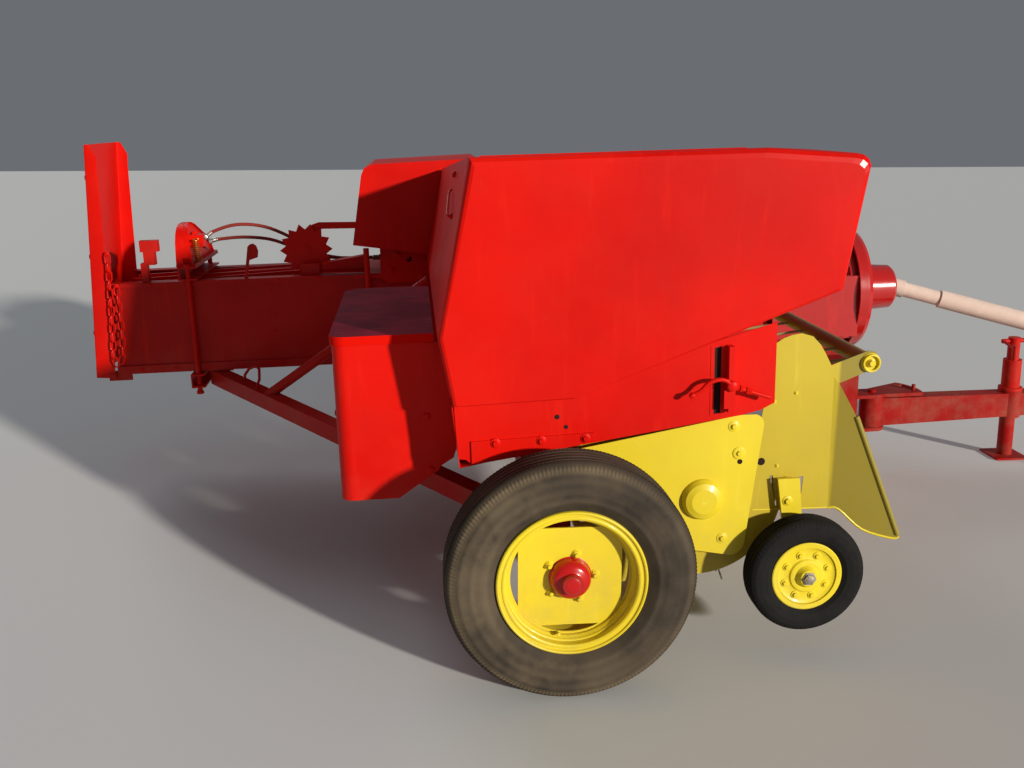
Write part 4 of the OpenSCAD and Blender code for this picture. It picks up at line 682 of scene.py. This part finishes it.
# Bolts on the panels: plane, size over flats, places as (x, z), and whether the far side has them too. A row of bolts
# is its height, its first place along, its end and its step.
chamberMiddle = 915  # how far to the left the middle of the bale chamber lies
paintOf = {"frame": (redPaint, "red_paint"), "pickup": (yellowPaint, "yellow_paint")}
boltRows = ((193, -1640, -300, 148), (573, -1560, -640, 184), (193, -160, 1240, 156), (573, -60, 1240, 182))
caseBolts = [(x, z) for z, start, stop, step in boltRows for x in range(start, stop, step)]
panelBolts = {"frame": [(-1166, 15, [(-184, 344), (-51, 344), (78, 344)], False),
                        (-980, 14, [(-376, 383), (-372, 213)], False),
                        (680, 9, [(-1049, 524), (-1028, 414), (-1038, 340)], False),
                        (670, 10, caseBolts, True),
                        (664, 19, [(-500, 600), (-470, 668), (-190, 575), (-168, 668), (-360, 560)], True)],
              "pickup": [(-1140, 14, [(526, 347), (544, 263), (498, -6)], False),
                         (-1092, 6, [(664, 402), (730, 426), (679, 199)], False),
                         (-1124, 16, [(704.5, 95)], False)]}
washers = {"plane": -1140, "wide": ([(19, -0.5), (19, 2.6), (17, 3.2)], 24),
           "narrow": ([(17, -0.5), (17, 1.4), (15, 2.2)], 22),
           "places": [(544, 263, "wide"), (526, 347, "narrow"), (498, -6, "narrow")]}
for body, rows in panelBolts.items():
    heap = Heap()
    for y, size, spots, both in rows:
        for x, z in spots:
            heap.bolt((x, y, z), (0, -1, 0), size)
            if both:
                heap.bolt((x, 2 * chamberMiddle - y, z), (0, 1, 0), size)
    if body == "pickup":
        for x, z, kind in washers["places"]:
            heap.lathe((x, washers["plane"], z), (0, -1, 0), *washers[kind])
    heap.piece(body + "_bolts", paintOf[body][0], body)

gearbox = {"count": 6, "sides": (1400, (760, 1070), 380, 70), "front": (1600, chamberMiddle, 372, 84),
           "feet": ((1290, 1420), (725, 1105), 236), "flange": 17, "foot": 22}
gearBolts = Heap()
for k in range(gearbox["count"]):
    a = 2 * math.pi * k / gearbox["count"] + 0.3
    x, planes, z, r = gearbox["sides"]
    for y, way in zip(planes, (-1, 1)):
        gearBolts.bolt((x + r * math.cos(a), y, z + r * math.sin(a)), (0, way, 0), gearbox["flange"])
    x, y, z, r = gearbox["front"]
    gearBolts.bolt((x, y + r * math.cos(a), z + r * math.sin(a)), (1, 0, 0), gearbox["flange"])
xs, ys, z = gearbox["feet"]
for x in xs:
    for y in ys:
        gearBolts.bolt((x, y, z), outward, gearbox["foot"])
gearBolts.piece("gearbox_bolts", redPaint, "frame")
print("bolts set")

# End panel: narrow slot with the lift lever's linkage in front of it
slot = {"strips": ((446, 457), (477, 493)), "z": (391, 600), "panel": -1160,
        "plate": ((478, -1194, 418), (511, -1190, 474)),
        "shade": ((440, -1156.5, 380), (498, -1154.5, 612)), "boss": (500, -1196, 486),
        "bossShape": [(15.6, 0), (15.6, 9), (12, 11)], "rod": (0.944, 0, -0.331), "nutsAt": (12, 24, 44, 52),
        "nutStep": (0.94, 0, -0.33),
        "nut": [(10.5, 0), (10.5, 7), (9, 8)],
        "arm": [(500, -1199, 486), (482, -1200, 503), (458, -1201, 508), (430, -1201, 499), (408, -1201, 478),
                (388, -1201, 468)],
        "armThick": 6.4, "knob": [(6.4, -1), (8.5, 1), (9.5, 8), (6, 15)]}
slotHeap = Heap()
for x0, x1 in slot["strips"]:
    slotHeap.brick((x0, slot["panel"] - 1.4, slot["z"][0]), (x1, slot["panel"] + 2, slot["z"][1]), 0.6)
slotHeap.brick(*slot["plate"], 1.5)
slotHeap.lathe(slot["boss"], (0, -1, 0), slot["bossShape"], 6)
for s in slot["nutsAt"]:
    slotHeap.lathe(Vector(slot["boss"]) + Vector(slot["nutStep"]) * s, slot["rod"], slot["nut"], 6)
slotHeap.tube(bow(slot["arm"], 5), slot["armThick"], 10)
slotHeap.lathe(slot["arm"][-1], (-1, 0, -0.5), slot["knob"], 12)
slotHeap.piece("lever_linkage", redPaint, "frame")
# A dark sheet behind the slot, standing for the shade inside it: painted shade
slotShadeHeap = Heap()
slotShadeHeap.brick(*slot["shade"], 0.4)
slotShadeHeap.piece("slot_shade", shadeBlack, "frame")

# Windguard pivots, and the rolled edge of the pickup sides, which flare outwards in front of "bend"
pickup = {"sides": ((-1090, -1), (482, 1)), "pivot": (956, 508), "nearFace": -1092, "boltFace": -1101, "farFace": 484,
          "nearPivot": [(30, -0.3), (30, 2.5), (28, 4), (27, 12), (24.5, 13), (22, 12), (21.5, 3), (12, 3), (12, 10),
                        (9, 11)],
          "farPivot": [(30, -0.3), (30, 2.5), (27, 10), (12, 11)],
          "rolled": [(1064, -39), (1044, -46), (952, -18), (878, 48), (846, 50.5)], "bend": 845,
          "flare": (0.978, 0.208), "rollThick": 4.2,
          "ledge": [(845, 52), (760, 54.5), (660, 57.5), (606, 59.2)], "ledgeThick": 3.2}
pivotHeap = Heap()
x, z = pickup["pivot"]
pivotHeap.lathe((x, pickup["nearFace"], z), (0, -1, 0), pickup["nearPivot"], 32)
pivotHeap.bolt((x, pickup["boltFace"], z), (0, -1, 0), 19, False)
pivotHeap.lathe((x, pickup["farFace"], z), (0, 1, 0), pickup["farPivot"], 32)
bend, (ahead, aside) = pickup["bend"], pickup["flare"]
for y, way in pickup["sides"]:
    edge = [(bend + (x - bend) * ahead, y + way * (x - bend) * aside, z) for x, z in pickup["rolled"]]
    pivotHeap.tube(bow(edge, 4), pickup["rollThick"], 10)
    pivotHeap.tube([(x, y, z) for x, z in pickup["ledge"]], pickup["ledgeThick"], 10)
pivotHeap.piece("windguard_pivots", yellowPaint, "pickup")

# Gauge wheel: pressed disc with its bolts, and the nut on its pin
gauge = {"bolts": 8, "circle": 68, "boltAt": 27, "size": 13,
         "disc": [(91.4, 22), (91.4, 29), (89, 30.5), (84, 28), (80, 26.5), (60, 26.5), (54, 28), (50, 33), (44, 34.5),
                  (36, 34.5), (32, 38), (28.5, 46), (25, 51), (13, 52), (13, 48), (26.3, 46), (26.3, 22)],
         "nut": [(22, 51.5), (22, 54.5), (17, 55), (17, 61.2), (12.6, 61.6), (12.6, 63.5), (10, 64.5)],
         "cotter": [(-19, 0, 58.5), (19, 0, 58.5)], "cotterThick": 2}
gaugeHeap = Heap(gaugePlace)
for k in range(gauge["bolts"]):
    a = 2 * math.pi * k / gauge["bolts"] + 0.3
    place = (gauge["circle"] * math.cos(a), gauge["circle"] * math.sin(a), gauge["boltAt"])
    gaugeHeap.bolt(place, outward, gauge["size"])
gaugeHeap.lathe(middle, outward, gauge["disc"], 56, loop=True)
gaugeHeap.piece("gauge_hub", yellowPaint, "gauge_wheel", 28)
pinHeap = Heap(gaugePlace)
pinHeap.lathe(middle, outward, gauge["nut"], 6)
pinHeap.tube(gauge["cotter"], gauge["cotterThick"], 8)
pinHeap.piece("gauge_pin_nut", wornSteel, "pickup")
print("pickup fitted")

# Reel: three turns of wire round the bar at every tine, and a bolt on every band
reel = {"x": 434, "z": 124, "bars": 5, "barOut": 105, "tines": 23, "pitch": 64, "middle": -304, "wire": 2.9,
        "coil": 17.2, "turns": 3, "steps": 9, "aside": 3, "bandBolt": (168, 358.6), "boltSize": 13}
reelHeap = Heap()
for b in range(reel["bars"]):
    a = 2 * math.pi * b / reel["bars"]
    bx, bz = reel["x"] + reel["barOut"] * math.cos(a), reel["z"] - reel["barOut"] * math.sin(a)
    for i in range(reel["tines"]):
        y = reel["middle"] + (i - (reel["tines"] - 1) / 2) * reel["pitch"] + reel["aside"]
        turned = [2 * math.pi * k / reel["steps"] for k in range(reel["steps"] * reel["turns"] + 1)]
        reelHeap.tube([(bx + reel["coil"] * math.cos(t - a), y + t, bz + reel["coil"] * math.sin(t - a))
                       for t in turned], reel["wire"], 6)
reelHeap.piece("tine_coils", wornSteel, "reel", 50)
bandBolts = Heap()
for i in range(reel["tines"] + 1):
    y = reel["middle"] + (i - reel["tines"] / 2) * reel["pitch"]
    bandBolts.bolt((reel["bandBolt"][0], y, reel["bandBolt"][1]), (-0.1, 0, 1), reel["boltSize"])
bandBolts.piece("band_bolts", yellowPaint, "pickup")
print("reel wound")

# Knotters under the cover: twine discs, bill hooks, springs and the teeth of the cam gear
knotter = {"at": (800, 1030), "discs": ((34, 46), (41, 46), (48, 44)), "disc": (-262, 742),
           "cam": (-320, 830, 122, 33), "teeth": 16,
           "hook": [(-352, -4, 742), (-372, -4, 716), (-384, -4, 694), (-398, -2, 684), (-410, 0, 690)],
           "hookThick": 6.5, "spring": (-300, 44, 800, 11), "springWire": 2.2, "springLead": 1.3, "springSteps": 60,
           "discHole": 12, "discThick": (4, 5), "discEdge": 3, "tooth": [(7, -1), (5, 5), (3.4, 7)]}
knotHeap = Heap()
hole, (rimHigh, high) = knotter["discHole"], knotter["discThick"]
for y in knotter["at"]:
    for inset, r in knotter["discs"]:
        knotHeap.lathe((knotter["disc"][0], y - inset, knotter["disc"][1]), (0, -1, 0),
                       [(r, 0), (r, rimHigh), (r - knotter["discEdge"], high), (hole, high), (hole, 0)], 24)
    knotHeap.tube(bow([(x, y + across, z) for x, across, z in knotter["hook"]], 5), knotter["hookThick"], 10)
    x, across, z, r = knotter["spring"]
    turned = [2 * math.pi * k / 10 for k in range(knotter["springSteps"] + 1)]
    knotHeap.tube([(x + r * math.cos(t), y + across + t * knotter["springLead"], z + r * math.sin(t)) for t in turned],
                  knotter["springWire"], 6)
    x, z, r, across = knotter["cam"]
    for k in range(knotter["teeth"]):
        a = 2 * math.pi * k / knotter["teeth"]
        ray = Vector((math.cos(a), 0, math.sin(a)))
        knotHeap.lathe(Vector((x, y + across, z)) + ray * r, ray, knotter["tooth"], 6)
knotHeap.piece("knotter_trim", wornSteel, "frame")

# Rear fittings: rod and catch on the hood's rear wall, seam and gap plate of the twine box, welds, twine channel
rear = {"rod": [(-262, -655, 1032), (-270, -672, 1024), (-276, -740, 1005), (-281, -800, 988), (-284, -856, 972),
                (-276, -864, 968)], "rodThick": 4, "way": (-0.97, 0, 0.2),
        "catches": [((-274, -860, 968), [(9, -6), (9, 2), (6, 4)], 12),
                    ((-254, -700, 1082), [(10, -7), (10, 3), (7, 5)], 6)],
        "seam": ([(-379, 190), (-343, 214), (-343, 608), (-379, 608)], -981.7, -979.8),
        "gap": ([(-354, 376), (-354, 609), (-329.5, 609), (-305.8, 458), (-298.9, 376)], -980, -977),
        "welds": [((-606, 656, 520), (-606, 656, 566), 3.4), ((-545, 664, 590), (-545, 664, 640), 2.6)],
        # channel: across, up, and 1 on the upper flange. ends: x, bottom, top.
        "channel": [(664, 0, 1), (722, 0, 1), (722, 0, 0), (664, 0, 0), (664, 3, 0), (719, 3, 0), (719, -3, 1),
                    (664, -3, 1)],
        "ends": ((-612, 592, 669), (-806, 597, 641))}
smallHeap = Heap()
smallHeap.tube(bow(rear["rod"], 5), rear["rodThick"], 10)
for place, shape, n in rear["catches"]:
    smallHeap.lathe(place, rear["way"], shape, n)
for start, end, thick in rear["welds"]:
    smallHeap.weld(start, end, thick)
for key in ("seam", "gap"):
    smallHeap.plate(*rear[key], 0.6)
smallHeap.skin([[(x, y, low + rise + (high - low) * top) for y, rise, top in rear["channel"]]
                for x, low, high in rear["ends"]])
smallHeap.piece("rear_fittings", redPaint, "frame")

# Back of the flywheel's guard, with its bolts
guard = {"x": 1642, "y": chamberMiddle, "z": 380, "bolts": 8, "circle": 250, "boltSize": 15,
         "shape": [(66, 0), (272, 0), (272, 31.5), (269, 31.5), (269, 3), (66, 3)]}
backGuard = Heap()
backGuard.lathe((guard["x"], guard["y"], guard["z"]), (1, 0, 0), guard["shape"], 96, loop=True)
for k in range(guard["bolts"]):
    a = 2 * math.pi * k / guard["bolts"] + 0.2
    across, up = guard["circle"] * math.cos(a), guard["circle"] * math.sin(a)
    backGuard.bolt((guard["x"], guard["y"] + across, guard["z"] + up), (-1, 0, 0), guard["boltSize"])
backGuard.piece("flywheel_back_guard", glossRed, "frame")

# Dark discs in the punched holes of the panels, painted shade, as place and radius
punched = {"frame": [(-3.6, -1160, 411.4, 5.5), (22.1, -1160, 379.9, 4.5)],
           "pickup": [(629, -1092, 215, 10), (547, -1140, 236, 6)]}
for body, holes in punched.items():
    holeHeap = Heap()
    for x, y, z, r in holes:
        holeHeap.lathe((x, y, z), (0, -1, 0), [(r + 2, -0.3), (r + 2, 0.5), (r, 0.9), (r, 0.3), (0, 0.3)], 20)
    holeHeap.piece(body + "_holes", shadeBlack, body)
print("knotters and catches fitted")

# Floor and studio light
studio = {"size": 60, "far": 8, "floor": (0.62, 0.62, 0.61), "floorRough": 0.85,
          "sky": 0.18, "skyTint": (0.80, 0.86, 0.95, 1),
          # way to the lamp, power, softness in degrees, tint
          "keyLight": ((0.592, -0.770, 0.236), 4.5, 2.5, (1.0, 0.95, 0.86)),
          "rearLight": ((-0.45, 0.75, 0.5), 0.8, 25, (0.93, 0.96, 1.0))}
bpy.ops.mesh.primitive_plane_add(size=studio["size"], location=(0, 0, 0))
floor = bpy.context.object
floor.name = "floor"
floor.data.materials.append(Finish("paleFloor").set(Base_Color=studio["floor"], Roughness=studio["floorRough"]))
for name in ("keyLight", "rearLight"):
    way, power, soft, tint = studio[name]
    light = bpy.data.lights.new(name, "SUN")
    light.energy, light.color, light.angle = power, tint, math.radians(soft)
    obj = bpy.data.objects.new(name, light)
    obj.location = Vector(way) * studio["far"]
    obj.rotation_euler = Vector(way).to_track_quat("Z", "Y").to_euler()
    bpy.context.scene.collection.objects.link(obj)
world = bpy.data.worlds.new("studio")
world.use_nodes = True
sky = world.node_tree.nodes["Background"]
sky.inputs["Color"].default_value = studio["skyTint"]
sky.inputs["Strength"].default_value = studio["sky"]
bpy.context.scene.world = world
bpy.context.scene.view_settings.view_transform = "Standard"
print("studio lit")
